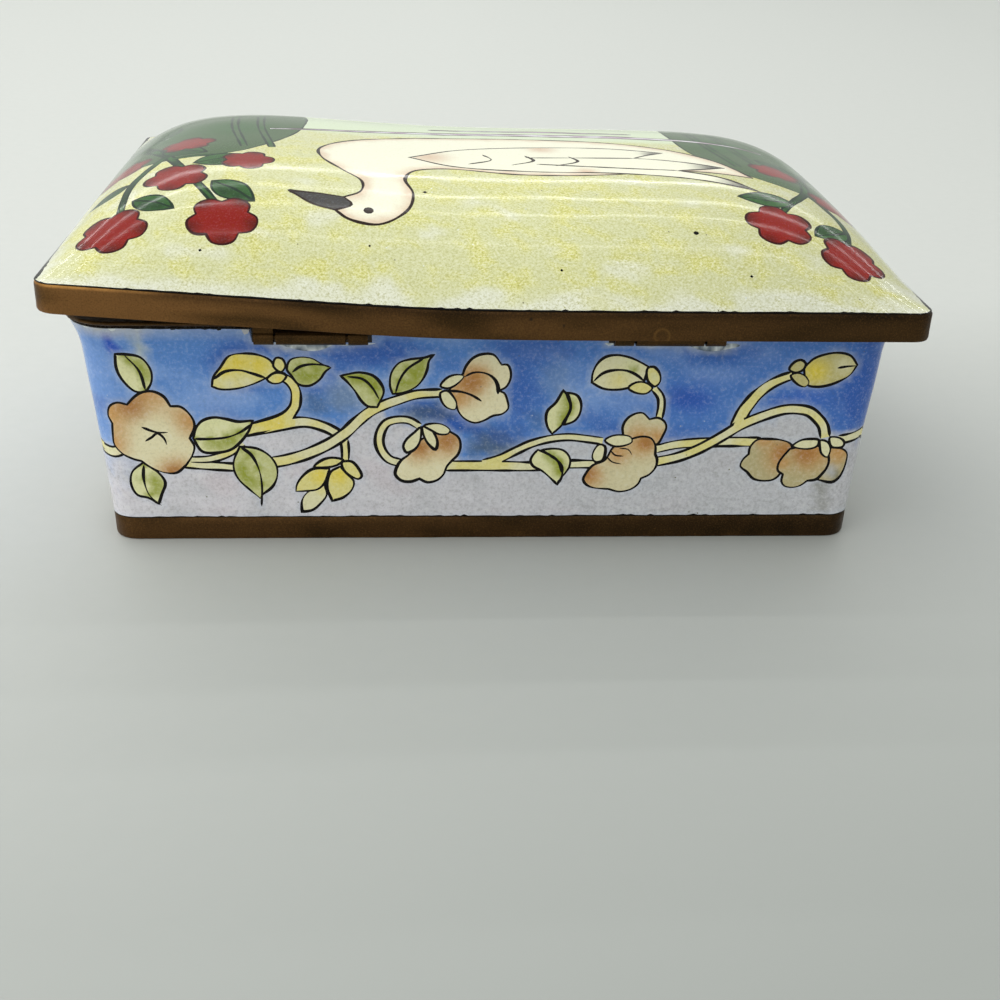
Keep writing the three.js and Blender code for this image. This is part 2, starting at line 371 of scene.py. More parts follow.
class Brush:
    """Draws outlined motifs on a picture, in the coordinates that place turns into the picture's own."""

    def __init__(self, picture, place, width, step, grain, tone=INK):
        self.picture = picture
        self.tone = tone
        self.place = place
        self.width = width
        self.step = step
        self.grain = grain
        self.drawn = 0

    def curve(self, points, closed=False):
        return self.place(curve(points, closed, self.step))

    def ink(self, path, closed=False, width=None):
        """Brush line along placed points, of uneven width, with pointed ends where it is open."""
        self.drawn += 1
        run = np.append(0, np.cumsum(np.linalg.norm(np.diff(path, axis=0), axis=1)))
        uneven = wander(run, LINE_PACE, self.drawn * 3.7)
        if closed:
            uneven *= np.sqrt(np.abs(np.sin(np.pi * run / run[-1])))
        half = (width or self.width) / 2 * (1 + LINE_UNEVEN * uneven)
        if not closed:
            half *= np.minimum(1, LINE_TIP + np.minimum(run, run[-1] - run) / LINE_TAPER)
        self.picture.line(path, half, closed, plain(self.tone, 0.0))

    def stroke(self, points, width=None):
        self.ink(self.curve(points), False, width)

    def patch(self, outline, paint, width=None):
        """Filled outline with a brush line round it."""
        self.picture.fill(outline, paint)
        self.ink(outline, True, width)

    def blob(self, points, tone, spots=()):
        """Closed smooth shape."""
        self.patch(self.curve(points, True), shaded(tone, self.placed(spots), self.grain))

    def petals(self, arcs, tone, spots=()):
        """Closed shape of smooth lobes that meet at notches; each lobe starts where the last one ended."""
        ends = [lobe[0] for lobe in arcs[1:]] + [arcs[0][0]]
        outline = joined(*[self.curve([*lobe, end]) for lobe, end in zip(arcs, ends)])
        self.patch(outline, shaded(tone, self.placed(spots), self.grain))

    def leaf(self, base, one_side, tip, other_side, rib, pale=LEAF_PALE, green=LEAF_GREEN):
        """Leaf with pointed ends, greener along its rib."""
        arcs = self.curve([base, *one_side, tip]), self.curve([tip, *other_side, base])
        inward = (1 - SIDE_SHADE_SHARE) * np.mean(rib, axis=0)
        spots = [(*p, RIB_SHADE, green) for p in rib]
        spots += [(*(SIDE_SHADE_SHARE * np.array(p) + inward), SIDE_SHADE, green) for p in other_side]
        self.patch(joined(*arcs), shaded(pale, self.placed(spots), self.grain))
        self.stroke(rib)

    def stem(self, centre, widths, tone=CREAM, other=STRAW):
        """Stem between two brush lines, with widths spread evenly along it."""
        path = self.curve(centre)
        half = np.interp(np.linspace(0, 1, len(path)), np.linspace(0, 1, len(widths)), widths) / 2
        left = normals(path, False) * half[:, None]
        outline = np.vstack([path + left, (path - left)[::-1]])
        self.picture.fill(outline, clouded(tone, other, self.grain))
        self.ink(path + left)
        self.ink(path - left)

    def merge(self, corners, tone=CREAM, other=STRAW):
        """Paint over the lines where one stem runs into another."""
        self.picture.fill(self.place(np.array(corners)), clouded(tone, other, self.grain))

    def placed(self, spots):
        """Spots with their places turned into the picture's coordinates."""
        return [(*self.place(np.array([spot[:2]]))[0], *spot[2:]) for spot in spots]


# Surfaces of the box

def ring_point(u, z, half_x, half_y, corner, offset, arc):
    """Place on a rounded rectangle pushed out by an offset, where u runs round it from the middle of the
    front and each corner takes up the given length."""
    side = np.where(u < 0, -1.0, 1.0)
    run = np.abs(u)
    flat_x = half_x - corner
    flat_y = half_y - corner
    radius = np.maximum(corner + offset, SMALLEST_RADIUS)
    first = np.clip((run - flat_x) / arc, 0, 1) * math.pi / 2
    second = np.clip((run - flat_x - arc - 2 * flat_y) / arc, 0, 1) * math.pi / 2
    turn = first + second
    up_side = np.clip(run - flat_x - arc, 0, 2 * flat_y)
    along_back = np.maximum(run - flat_x - 2 * arc - 2 * flat_y, 0)
    x = np.minimum(run, flat_x) - along_back + radius * np.sin(turn)
    y = -flat_y + up_side - radius * np.cos(turn)
    return np.column_stack([side * x, y, np.broadcast_to(z, np.shape(x))])


def ring_length(half_x, half_y, corner, arc):
    return 4 * (half_x + half_y - 2 * corner + arc)


MIDDLE_LEAN = 1.1
WALL_ARC = (FOOT_CORNER + MIDDLE_LEAN) * math.pi / 2
WALL_ROUND = ring_length(FOOT_HALF_X, FOOT_HALF_Y, FOOT_CORNER, WALL_ARC)
FLAT_X = FOOT_HALF_X - FOOT_CORNER


def wall_offset(z):
    """How far the wall leans out of the foot's outline at a height."""
    lip = np.maximum(0, (z - WALL_TOP + LIP_HEIGHT) / LIP_HEIGHT)
    return WALL_LEAN * (np.maximum(z, 0) / WALL_TOP) ** LEAN_POWER + LIP_FLARE * lip**2


def wall_point(u, z, offset):
    """Place on the tray at a distance round it, a height and an offset."""
    return ring_point(u, z, FOOT_HALF_X, FOOT_HALF_Y, FOOT_CORNER, offset, WALL_ARC)


def lid_lift(x):
    """How far the bent lid stands up at its left end."""
    ahead = LIFT_FROM - x
    return LIFT_SLOPE * (ahead + np.hypot(ahead, LIFT_BLEND)) / 2


def dome(x, y, half_x, half_y, rise):
    """Height of the lid's dome over its edge."""
    ends = 1 - np.minimum(np.abs(x) / half_x, 1) ** END_POWER
    sides = 1 - np.minimum(np.abs(y) / half_y, 1) ** SIDE_POWER
    return rise * ends * sides


# Painted walls

def front_place(points):
    """Points of the front, seen square on, as places round the wall: the ends turn round the corners."""
    x, z = points.T
    over = np.clip((np.abs(x) - FLAT_X) / (FOOT_CORNER + wall_offset(z)), 0, 1)
    u = np.where(np.abs(x) > FLAT_X, FLAT_X + np.arcsin(over) * WALL_ARC / (math.pi / 2), np.abs(x))
    return np.column_stack([np.sign(x) * u, z])


def front_stems(b):
    """Stems of the front's scroll, the ones behind first."""
    b.stem([(-47.3, 12.5), (-46.2, 12.2), (-45, 12.15), (-43.8, 12.7)], [1.3, 1.3], PETAL, CREAM)
    b.stem([(-37, 10.7), (-34.2, 10.4), (-30.3, 10.1)], [1.1, 1.0])
    b.stem([(-36, 11.2), (-33.5, 11.3), (-31, 12.2), (-29.5, 13.4)], [0.7, 0.9, 0.6])
    b.stem([(-29.6, 15.1), (-27, 15.5), (-25, 15.9), (-22, 16.3), (-19.6, 15.6), (-17.8, 14.5)],
           [1.6, 1.5, 1.2, 1.1])
    b.stem([(-29.4, 15.1), (-27.5, 15.6), (-24.4, 16.9), (-23.2, 18.2), (-22.9, 19.5), (-23, 20.7),
            (-23.7, 21.8), (-24.6, 22.3)], [1.5, 1.4, 1.2, 1.1, 1.0], STRAW, mix(STRAW, YELLOW, 0.6))
    b.merge([(-29.4, 14.65), (-24.9, 15.42), (-23.2, 15.75), (-23.1, 16.5), (-23.5, 16.72), (-23.4, 17),
             (-23.1, 17.5), (-23.45, 18.05), (-24.6, 17.15), (-26.2, 16.4), (-27.7, 15.95), (-29.4, 15.6)],
            STRAW, mix(STRAW, YELLOW, 0.6))
    b.stem([(-10.6, 10.7), (-12, 11.2), (-12.9, 12.4), (-13.2, 13.7), (-12.9, 15.2), (-12.2, 16.2),
            (-10.9, 16.6), (-9.6, 16.5), (-8.3, 15.7)], [1.0, 1.0, 0.8])
    b.stem([(-17.4, 13.9), (-17.3, 12.5), (-17.35, 11)], [0.9, 0.8])
    b.stem([(-26.2, 10.8), (-24.8, 11.05), (-22.5, 11.75), (-20.3, 12.75), (-18.6, 13.75), (-17.2, 14.85),
            (-15.7, 16.4), (-14.2, 17.7), (-12.5, 18.6), (-11, 19.2), (-8.8, 19.95), (-5.6, 20.2)],
           [1.4, 1.3, 1.0])
    b.stem([(-5.2, 10.3), (-1.5, 10.3), (2, 10.25), (5.8, 10.2), (10.4, 10.5), (13.8, 10.5)],
           [1.3, 1.3, 1.1, 1.0])
    b.stem([(-0.6, 10.6), (1.5, 11.3), (3.3, 12.3), (5.2, 13.3), (7.5, 14), (9.8, 14.25), (11.75, 14.05),
            (14, 13.7)], [1.0, 0.9, 0.9])
    b.merge([(-1, 9.95), (1.5, 9.95), (1.72, 10.75), (1.75, 11), (1.5, 11.4), (0.4, 11), (-0.5, 10.72),
             (-1, 10.66)])
    b.stem([(20.6, 12.6), (23, 13.2), (27.5, 13.55), (33.5, 13.6)], [1.0, 1.2, 1.2])
    b.stem([(30.3, 15.6), (30.9, 17.7), (31.5, 18.8), (32.3, 20), (33.7, 21.35), (35.2, 22.2),
            (36.3, 22.6)], [1.7, 1.3, 1.0])
    b.stem([(20.6, 10.8), (23.5, 11.5), (25.8, 12.5), (27.5, 13.55), (29, 14.6), (30.8, 15.9), (33.5, 17.2),
            (35.9, 18), (37.6, 18.05), (39, 17.75), (40.1, 16.9), (41, 15.8), (41.5, 14.2)],
           [1.2, 1.2, 1.15])
    b.merge([(29.85, 15.6), (31.2, 16.3), (31, 16.95), (30.05, 16.45)])
    b.stem([(20.65, 16.8), (20.8, 18.4), (20.6, 19.7), (19.7, 20.9)], [0.8, 0.75])
    b.stem([(43.2, 13.9), (44.8, 14.1), (47, 14.4)], [1.1, 1.2], PETAL, CREAM)


def front_leaves(b):
    """Leaves of the front's scroll: base, one side, tip, the other side back to the base, and rib."""
    b.leaf((-40.4, 20.2), [(-41.65, 20.35), (-42.9, 21.75), (-43.45, 23.3)], (-43.4, 25.1),
           [(-42.3, 25.1), (-40.55, 24.7), (-39.55, 23.15), (-39.6, 21.6)],
           [(-42.4, 25), (-40.9, 23), (-40.4, 20.5)])
    b.leaf((-41.65, 10.8), [(-43.05, 9.55), (-43.4, 7.85), (-42.75, 6.3), (-41.5, 5.9)], (-40.3, 5.05),
           [(-39.8, 6.45), (-39.25, 8), (-39.95, 9.4)],
           [(-41.6, 10.5), (-41.8, 8.6), (-41.35, 6.3), (-40, 4.8)])
    b.leaf((-35.4, 14.1), [(-34.95, 15.5), (-34.15, 16.45), (-32.75, 16.9), (-31.35, 16.7),
                (-29.95, 16.35)], (-28.15, 16.5), [(-28.85, 14.9), (-29.95, 13.45), (-31.05, 12.55),
                (-32.6, 12.15), (-34.45, 12.3)], [(-35.3, 14), (-33.4, 14), (-31.35, 14.25), (-29.8, 14.9),
                (-28.2, 16.1)])
    b.leaf((-29.95, 13), [(-27.9, 12.7), (-26.5, 11.75), (-25.7, 10.35), (-25.7, 8.8), (-26.35, 7.4),
                (-27.6, 6.3)], (-27.9, 5.8), [(-29.15, 7.05), (-30.25, 8.3), (-30.8, 9.55), (-30.8, 10.95)],
           [(-29.85, 12.9), (-28.7, 11.9), (-27.9, 10.05), (-27.6, 7.85), (-27.8, 4.7)], LEAF_MIDDLE)
    b.leaf((-23.4, 22.55), [(-23.8, 23.15), (-23.4, 24.4), (-22.25, 24.8), (-20.85, 24.65),
                (-19.75, 23.95)], (-18.7, 23.45), [(-19.3, 23), (-20.05, 21.9), (-21.3, 21.1),
                (-22.55, 21.3)], [(-23.2, 22.85), (-22.25, 23.6), (-20.85, 23.9), (-18.9, 23.7)],
           LEAF_MIDDLE)
    b.leaf((-13.35, 18.3), [(-14.45, 18.4), (-15.2, 19.1), (-16, 20.5), (-16.95, 21.75)], (-17.6, 22.4),
           [(-16.8, 22.6), (-15.4, 22.85), (-13.8, 22.45), (-12.9, 21.45), (-12.55, 20.35)],
           [(-16.8, 22.3), (-15.05, 22), (-13.95, 20.95), (-13.1, 19.3)], LEAF_MIDDLE)
    b.leaf((-11.5, 20.05), [(-11.8, 21.1), (-11.6, 22.85), (-10.7, 24.1), (-9.45, 24.55), (-7.7, 24.8)],
           (-6.6, 25.2), [(-7.2, 24.4), (-7.4, 23.3), (-7.9, 22.05), (-8.8, 20.95), (-10.4, 20.2)],
           [(-11.15, 20.2), (-10.7, 21.75), (-9.75, 23.3), (-7.8, 24.7)], LEAF_MIDDLE)
    b.leaf((9.1, 15.9), [(10.35, 16.45), (10.95, 17.4), (11.05, 18.8), (10.5, 19.9)], (9.3, 20.3),
           [(9.65, 19.25), (9.8, 18.3), (9.5, 17.05)], [(9.3, 20.2), (9.8, 18.3), (9.1, 16.1)])
    b.leaf((7.75, 14.7), [(7.2, 15.5), (6.9, 16.75), (7.05, 17.85), (8, 18.95)], (8.8, 20.6),
           [(9.4, 19.8), (9.8, 18.3), (9.5, 17.05), (8.8, 15.8)], [(9.15, 20.2), (9.8, 18.3), (8.8, 15.8)])
    b.leaf((6.5, 12.5), [(8.15, 12.65), (9.25, 12.4), (10.05, 11.45), (10.1, 10.2)], (9.2, 8.6),
           [(9.2, 10), (8.6, 10.95), (7.4, 11.9)], [(7.4, 11.9), (8.6, 10.95), (9.2, 9.7)])
    b.leaf((6.1, 12.5), [(5.5, 11.75), (5.25, 10.95), (5.65, 10.2), (6.75, 9.55)], (8.65, 7.7),
           [(9.2, 8.6), (9.2, 9.7), (8.6, 10.95), (7.4, 11.9)], [(7.4, 11.9), (8.6, 10.95), (9.25, 9.2)])


def front_buds(b):
    """Yellow buds and the hanging cluster."""
    b.petals([[(-32.65, 21), (-32.4, 22.2), (-31.5, 23.45), (-30.4, 24.9), (-28.85, 25.25), (-27.1, 25.1),
               (-25.7, 24.4)], [(-24.95, 23), (-26.35, 22.05), (-28.4, 21.1), (-30.25, 20.65),
                (-31.8, 20.65)]], STRAW, [(-29.5, 24.2, 2.2, YELLOW), (-27, 23.8, 2, YELLOW),
                (-31, 23, 1.2, YELLOW), (-30.6, 21.2, 1.5, CREAM), (-28.4, 21.4, 1.4, CREAM)])
    b.stroke([(-32.4, 21.9), (-31.05, 22.9), (-29.3, 23.1), (-28.05, 22.75), (-26.3, 22.1)])
    b.blob([(-25.35, 23.6), (-25, 24.7), (-24.3, 24.6), (-23.95, 23.7), (-24.5, 22.9)], STRAW)
    b.blob([(-26.2, 21.9), (-25.4, 22.7), (-24.5, 22.8), (-23.9, 22.4), (-24.6, 21.5), (-25.6, 21.4)],
           STRAW, [(-25, 22, 0.8, YELLOW)])
    b.petals([[(-20, 7.7), (-22.1, 6.6), (-22.8, 5.5)],
              [(-22.9, 3.85), (-21.6, 4.1), (-20.55, 5.05), (-19.75, 6.3)]], CREAM,
             [(-20.4, 6.9, 1.2, STRAW)])
    b.petals([[(-19.3, 9.9), (-21.3, 9.9), (-22.55, 8.95), (-23.35, 7.7)],
              [(-23.5, 6.75), (-22.4, 6.8), (-20.85, 7.05), (-20, 7.9)]], STRAW,
             [(-20.6, 8.9, 1.7, YELLOW)])
    b.petals([[(-18, 10.2), (-19.1, 9.55), (-19.6, 8.3), (-19.65, 7.05)],
              [(-19.1, 5.4), (-17.7, 5.9), (-16.6, 7.05), (-16.4, 8.15), (-17.25, 9.25)]],
             STRAW, [(-18.2, 8.9, 1.8, YELLOW)])
    b.blob([(-21.15, 10.2), (-20.2, 11.1), (-18.95, 11.45), (-17.6, 11.1), (-18.4, 10.4), (-19.8, 10.1)],
           STRAW)
    b.blob([(-17.75, 10.8), (-16.6, 10.9), (-15.85, 10.05), (-15.4, 8.85), (-15.85, 8.45), (-16.8, 8.95),
            (-17.55, 9.7)], STRAW)
    b.petals([[(12.15, 21.6), (12.2, 22.85), (12.7, 24.1), (13.6, 24.95), (14.9, 25.2), (16.45, 24.9),
               (17.85, 24.25)], [(18.8, 23.7), (18.6, 22.6)],
              [(18.4, 21.7), (16.6, 20.9), (15.2, 20.65), (13.6, 20.8)]], CREAM,
             [(15.4, 22, 2.2, STRAW), (16.8, 23.8, 2, LEAF_PALE), (17, 23.4, 0.9, LEAF_GREEN)])
    b.stroke([(12.3, 21.7), (13.45, 22.85), (14.9, 23.25), (16.3, 23.15), (17.55, 22.55), (18.45, 21.75)])
    b.blob([(18.7, 23.5), (19.4, 23.7), (20.2, 22.85), (20.35, 21.75), (19.8, 21.1), (18.9, 21.8)], STRAW,
           [(19.6, 22.3, 0.9, LEAF_PALE)])
    b.blob([(16.6, 20.9), (17.4, 21.6), (18.45, 21.65), (19.5, 20.9), (18.8, 20.15), (17.4, 20.3)], STRAW)
    # This bud lies on the right and takes the darker straw: painted shade.
    b.petals([[(37.5, 23.6), (38.55, 24.8), (39.95, 25.4), (41.55, 25.6), (42.95, 25.2)],
              [(43.95, 24), (43.25, 22.7), (42.15, 21.9), (40.75, 21.3), (39.35, 21.1), (38.2, 21.4)]],
             STRAW_IN_SHADE, [(39, 23.2, 2.6, YELLOW), (42.4, 24, 1.8, CREAM)])
    b.stroke([(43.9, 23.9), (42.7, 23.8), (41.6, 23.6)])
    b.blob([(35.75, 23.4), (36.2, 24.3), (37, 24.65), (37.65, 24.2), (37.5, 23.4), (36.6, 22.95)],
           STRAW_IN_SHADE)
    b.blob([(36.05, 22.6), (36.85, 22.9), (37.8, 22.55), (38.4, 21.6), (38, 21.1), (37, 21.45)], STRAW_IN_SHADE)


def front_flowers(b):
    """Open and drooping flowers with their sepals."""
    b.petals([[(-42.75, 18.6), (-41.8, 19.6), (-40.9, 20.2), (-39.6, 20.35), (-38.4, 19.7)],
              [(-37.7, 18.4), (-36.5, 18.3), (-35.4, 17.05), (-35.1, 15.8)],
              [(-35.8, 14.1), (-35.35, 13), (-35.7, 11.75)],
              [(-36.5, 10.5), (-37.75, 9.4), (-39.15, 9.4), (-40.9, 10.2)],
              [(-41.8, 11), (-42.75, 11.3), (-44, 12.05), (-44.85, 13.15), (-44.9, 14.6)],
              [(-44.8, 16), (-45.2, 17.05), (-44.85, 18.3), (-43.85, 18.85)]], PETAL,
             [(-40, 20.4, 5.2, PEACH), (-44.6, 17.6, 5, PEACH), (-35.4, 16.6, 4.2, PEACH),
              (-37.8, 9.2, 4.2, PEACH), (-45, 13.4, 3.6, PEACH), (-42.2, 18.4, 2.8, BROWN_PEACH),
              (-38, 9.4, 2.2, BROWN_PEACH), (-39.4, 13.8, 3.6, PETAL)])
    b.stroke([(-41.35, 15.6), (-39.6, 14.9), (-38.3, 14.9)])
    b.stroke([(-41.1, 13.7), (-40.2, 14.3), (-39.6, 14.8), (-38.85, 14.1), (-38.6, 13.2)])
    b.petals([[(-3.2, 22.7), (-2.9, 23.6), (-2.1, 24.7), (-1, 25.25), (0.35, 25.2)],
              [(1.35, 23.9), (2.05, 23.9), (2.45, 23), (2.4, 21.9), (1.9, 20.95)],
              [(1.05, 20.5), (1.75, 20.2), (2.15, 19.25), (2.3, 18.15), (1.6, 17.4), (0.5, 17.15),
               (-0.6, 16.5), (-1.7, 16.2), (-2.9, 16.75), (-3.65, 17.7), (-4, 18.8), (-4.8, 20.4),
               (-4.2, 21.6)]], PETAL, [(-2.8, 21.4, 4.2, PEACH), (-1.4, 22.4, 2.6, PEACH),
                (-3.8, 19.4, 2.4, PEACH), (-2.2, 21.6, 2.4, BROWN_PEACH)])
    b.stroke([(-3.05, 22.3), (-2, 22.85), (-1.05, 22.9), (-0.1, 22.6), (0.65, 21.9), (1, 20.95),
              (1, 20.05)])
    b.stroke([(-4.9, 20.5), (-3.35, 20.35), (-2.1, 19.9), (-0.9, 19.1)])
    b.blob([(-5.85, 21.1), (-5.05, 22.2), (-3.95, 22.6), (-3.1, 22.4), (-4.1, 21.2), (-5, 20.8)], CREAM)
    b.blob([(-5.85, 20.2), (-5.7, 19.1), (-5.05, 18.25), (-4.1, 18), (-3.9, 18.8), (-4.3, 19.7),
            (-5.05, 20.5)], CREAM)
    b.petals([[(-5, 15.2), (-3.65, 14.25), (-3.35, 13.15), (-3.65, 11.9), (-4.45, 10.95), (-5, 10.2),
               (-5.4, 9.1), (-6.15, 8.3), (-7.4, 8)], [(-8.35, 8.5), (-9.45, 8.1), (-10.55, 8.25),
                (-11.3, 9.1), (-11.15, 10.05), (-10.55, 11.1), (-9.6, 11.9), (-8, 14)]], PETAL,
             [(-5.2, 13.6, 3.6, PEACH), (-8.4, 12.6, 3.2, PEACH), (-4.8, 13.8, 2.4, BROWN_PEACH),
              (-8.2, 12.8, 1.8, BROWN_PEACH)])
    b.blob([(-8.2, 15.6), (-8.95, 14.9), (-9.9, 13.95), (-10.3, 13), (-9.9, 12.15), (-8.95, 12.55),
            (-8.3, 13.6)], CREAM)
    b.blob([(-7.95, 15.65), (-7.1, 15.5), (-6.45, 14.55), (-6.15, 13.45), (-6.4, 12.55), (-7.25, 13.3),
            (-7.8, 14.4)], CREAM)
    b.blob([(-7.8, 15.8), (-6.8, 16.1), (-5.55, 15.95), (-4.65, 15.2), (-4.9, 14.7), (-6, 14.65),
            (-6.95, 15.2)], CREAM)
    # From here on the flowers lie to the right and take the darker petal colour: painted shade, stronger
    # further right.
    b.petals([[(16.45, 14.5), (16.3, 15.65), (16.75, 16.75), (17.7, 17.45), (18.6, 17.55)],
              [(19.5, 16.7), (20.5, 16.9), (21.3, 16.45), (21.65, 15.65), (21.35, 14.55), (20.6, 13.2),
               (18, 13.4)]], mix(PETAL, PETAL_IN_SHADE, 0.5), [(18.4, 14, 3, PEACH), (20.8, 14.4, 1.8, PEACH)])
    b.petals([[(17.4, 14), (18.8, 14.35), (19.9, 14.1), (20.5, 13.15)],
              [(20.6, 11.9), (20.9, 11.15), (20.8, 10.05), (20.05, 9)],
              [(19.1, 8.5), (18.8, 7.7), (17.85, 6.9), (16.45, 6.6)],
              [(15.2, 6.95), (13.3, 7.15), (12.4, 7.55), (11.9, 8.3), (12.2, 9.25), (13, 10.35), (14.4, 11),
               (15.4, 12.9)]], mix(PETAL, PETAL_IN_SHADE, 0.4),
             [(12.4, 8.8, 3.4, PEACH), (19, 13.4, 3.2, PEACH), (16, 12, 2.6, PEACH),
              (19.4, 13.6, 1.8, BROWN_PEACH), (12.4, 9.2, 1.9, BROWN_PEACH)])
    b.stroke([(15.05, 12.4), (15.65, 11.75), (16.7, 11.6)])
    b.stroke([(14.55, 11.6), (15.35, 10.8), (16.5, 10.5)])
    b.stroke([(16.1, 12.7), (17.2, 12.55), (17.75, 11.75)])
    b.blob([(14.25, 13.8), (15.05, 14.4), (16.3, 14.55), (17.4, 14.25), (17.6, 13.6), (16.75, 13.1),
            (15.35, 13)], CREAM)
    b.blob([(13.6, 13.25), (13, 12.4), (12.85, 11.45), (13.25, 10.8), (14.1, 10.95), (14.4, 11.9),
            (14.3, 13)], CREAM)
    b.petals([[(36.3, 8.7), (37.6, 11), (37.4, 13.2), (36.05, 13.85), (34.5, 14), (33.1, 13.9),
               (32.3, 12.85)], [(32.25, 11.9), (31.6, 11.1), (31.4, 10.2)],
              [(32.3, 9.4), (33.25, 8.4), (34.5, 8.1), (35.75, 8.25)]], PETAL_IN_SHADE,
             [(36.6, 11.6, 3.8, PEACH), (36.8, 12.2, 2.6, BROWN_PEACH), (34, 14, 2, PEACH)])
    b.petals([[(42.5, 12.8), (43.9, 12.6), (44.65, 11.9), (44.75, 10.8), (44.5, 9.4), (44.05, 8.45),
               (43.25, 7.9)], [(41.4, 8.25), (41, 11)]], PETAL_IN_SHADE,
             [(43.6, 12.2, 3, PEACH), (42.9, 9.4, 1.6, GREY_LILAC), (43.6, 8.8, 1, DIRT)])
    b.petals([[(37.3, 12.6), (36.55, 11.45), (36.15, 10.5), (36.2, 9.55)],
              [(36.9, 9), (36.85, 8), (37.3, 7.35), (38.4, 7.15), (39.35, 7.45)],
              [(40.1, 8.1), (41.2, 8.3), (41.85, 9.1), (42.3, 9.9), (42.45, 10.95), (42, 12.2), (40.75, 13),
               (39, 13)]], PETAL_IN_SHADE, [(40, 12.2, 4.4, PEACH), (39.4, 12, 2.6, BROWN_PEACH),
                (36.6, 10.6, 1.6, PEACH)])
    b.blob([(37.6, 13), (38.5, 13.8), (39.65, 14), (40.75, 13.85), (40.65, 13), (39.5, 12.6)], CREAM)
    b.blob([(40.95, 13.8), (41.85, 13.6), (42.4, 12.55), (42.15, 11.45), (41.4, 11.9), (41, 13)], CREAM)
    b.blob([(42.1, 14.2), (43.4, 14.1), (44.05, 13.45), (43.9, 12.9), (42.6, 12.85), (42.2, 13.4)], CREAM)


BORDER = np.array([
    (-46, 13.2), (-36, 13), (-28, 15.5), (-22, 16.2), (-18.2, 14.9), (-13, 18.2), (-12, 16.6), (-8.3, 15.7),
    (-4, 12), (-3, 10.4), (0, 10.6), (5, 13.3), (10, 14.2), (14, 13.7), (21, 13.2), (28, 13.9), (31, 16.2),
    (36, 18), (39, 17.7), (42, 14.8), (47, 15.2), (52, 13.5),
])


FRONT_END = 45.0
WAVE_START = 52.0
WAVE_REACH = (WALL_ROUND / 2 - WAVE_START) / (3.5 * math.pi)
WAVE_HEIGHT = 13.2
WAVE_SWING = 1.6


def border_height(u):
    """Height of the edge between the blue and the lilac ground."""
    wave = WAVE_HEIGHT + WAVE_SWING * np.sin((np.abs(u) - WAVE_START) / WAVE_REACH)
    front = np.interp(u, BORDER[:, 0], BORDER[:, 1])
    return front + (wave - front) * step_up(FRONT_END, WAVE_START, np.abs(u))


# Smudges, and one painted shadow: place round the wall, height, half width, half height, colour and share
SMUDGES_AND_SHADOW = [
    (-47, 20, 9, 12, PALE_BLUE, 0.45), (-33, 19, 7, 4, PALE_BLUE, 0.5), (-21, 23.5, 5, 2.6, DEEP_BLUE, 0.5),
    (-7.6, 17.4, 3.6, 1.6, SLATE, 0.75), (0.8, 13.4, 4.0, 2.6, SLATE, 0.85),
    (-14, 25.4, 8, 2.6, DEEP_BLUE, 0.9), (3.5, 20.5, 3.2, 5, DEEP_BLUE, 0.75),
    (5, 25.8, 7, 2.2, DEEP_BLUE, 0.7), (12, 20, 3.5, 3, PALE_BLUE, 0.5), (27, 25.6, 6, 2.0, DEEP_BLUE, 0.6),
    (33, 17.6, 3, 1.6, PALE_BLUE, 0.35), (46, 21, 6, 8, DEEP_BLUE, 0.95), (38, 19.6, 4, 1.8, COBALT, 0.4),
    (-43.8, 26.6, 0.55, 1.5, COBALT, 0.95), (-43.2, 25.8, 0.6, 0.9, COBALT, 0.8),
    (-40.4, 25.8, 1.0, 2.2, LEAF_PALE, 0.45), (-23, 26.6, 4.5, 1.0, FILLER, 0.75),
    (22, 26.6, 8, 0.8, FILLER, 0.45), (-43, 28.4, 6, 0.7, GREY_LILAC, 0.85),
    (-20.5, 18.6, 2.6, 1.6, SLATE, 0.5), (-17, 19.7, 3.2, 2.6, PALE_SLATE, 0.8),
    # The slate mark at 26.6, 25.6, under the filler chip by the right hinge, is a painted shadow.
    (8, 22, 2.6, 3, PALE_SLATE, 0.4), (6.3, 16.4, 2, 1.8, SLATE, 0.35), (26.6, 25.6, 2.4, 0.6, SLATE, 0.75),
    (2, 14.6, 4, 1.8, DEEP_BLUE, 0.5), (24, 19.5, 4, 3, COBALT, 0.3), (42.2, 7.4, 1.3, 2.6, DIRT, 0.5),
    (42.6, 4.4, 1.6, 1.4, DIRT, 0.35),
]


# Clouds of the grounds: colour, share, noise where it starts and where it is full, blotch size and seed
BLUE_CLOUDS = (
    (DEEP_BLUE, 1.0, 0.0, 0.9, (9.0, 4.0), 1.0),
    (PALE_BLUE, 0.6, 0.1, 0.9, (7.0, 3.0), 2.0),
)
LILAC_CLOUDS = (
    (GREY_LILAC, 0.5, -0.1, 0.9, (5.0, 3.0), 3.0),
    (ROSE_LILAC, 0.6, 0.0, 0.8, (7.0, 4.0), 9.0),
)


def layered(rows, clouds, points):
    """Colour with clouds of others over it."""
    for tone, share, low, high, size, seed in clouds:
        rows = mix(rows, tone, share * step_up(low, high, cloud(points, size, seed)))
    return rows


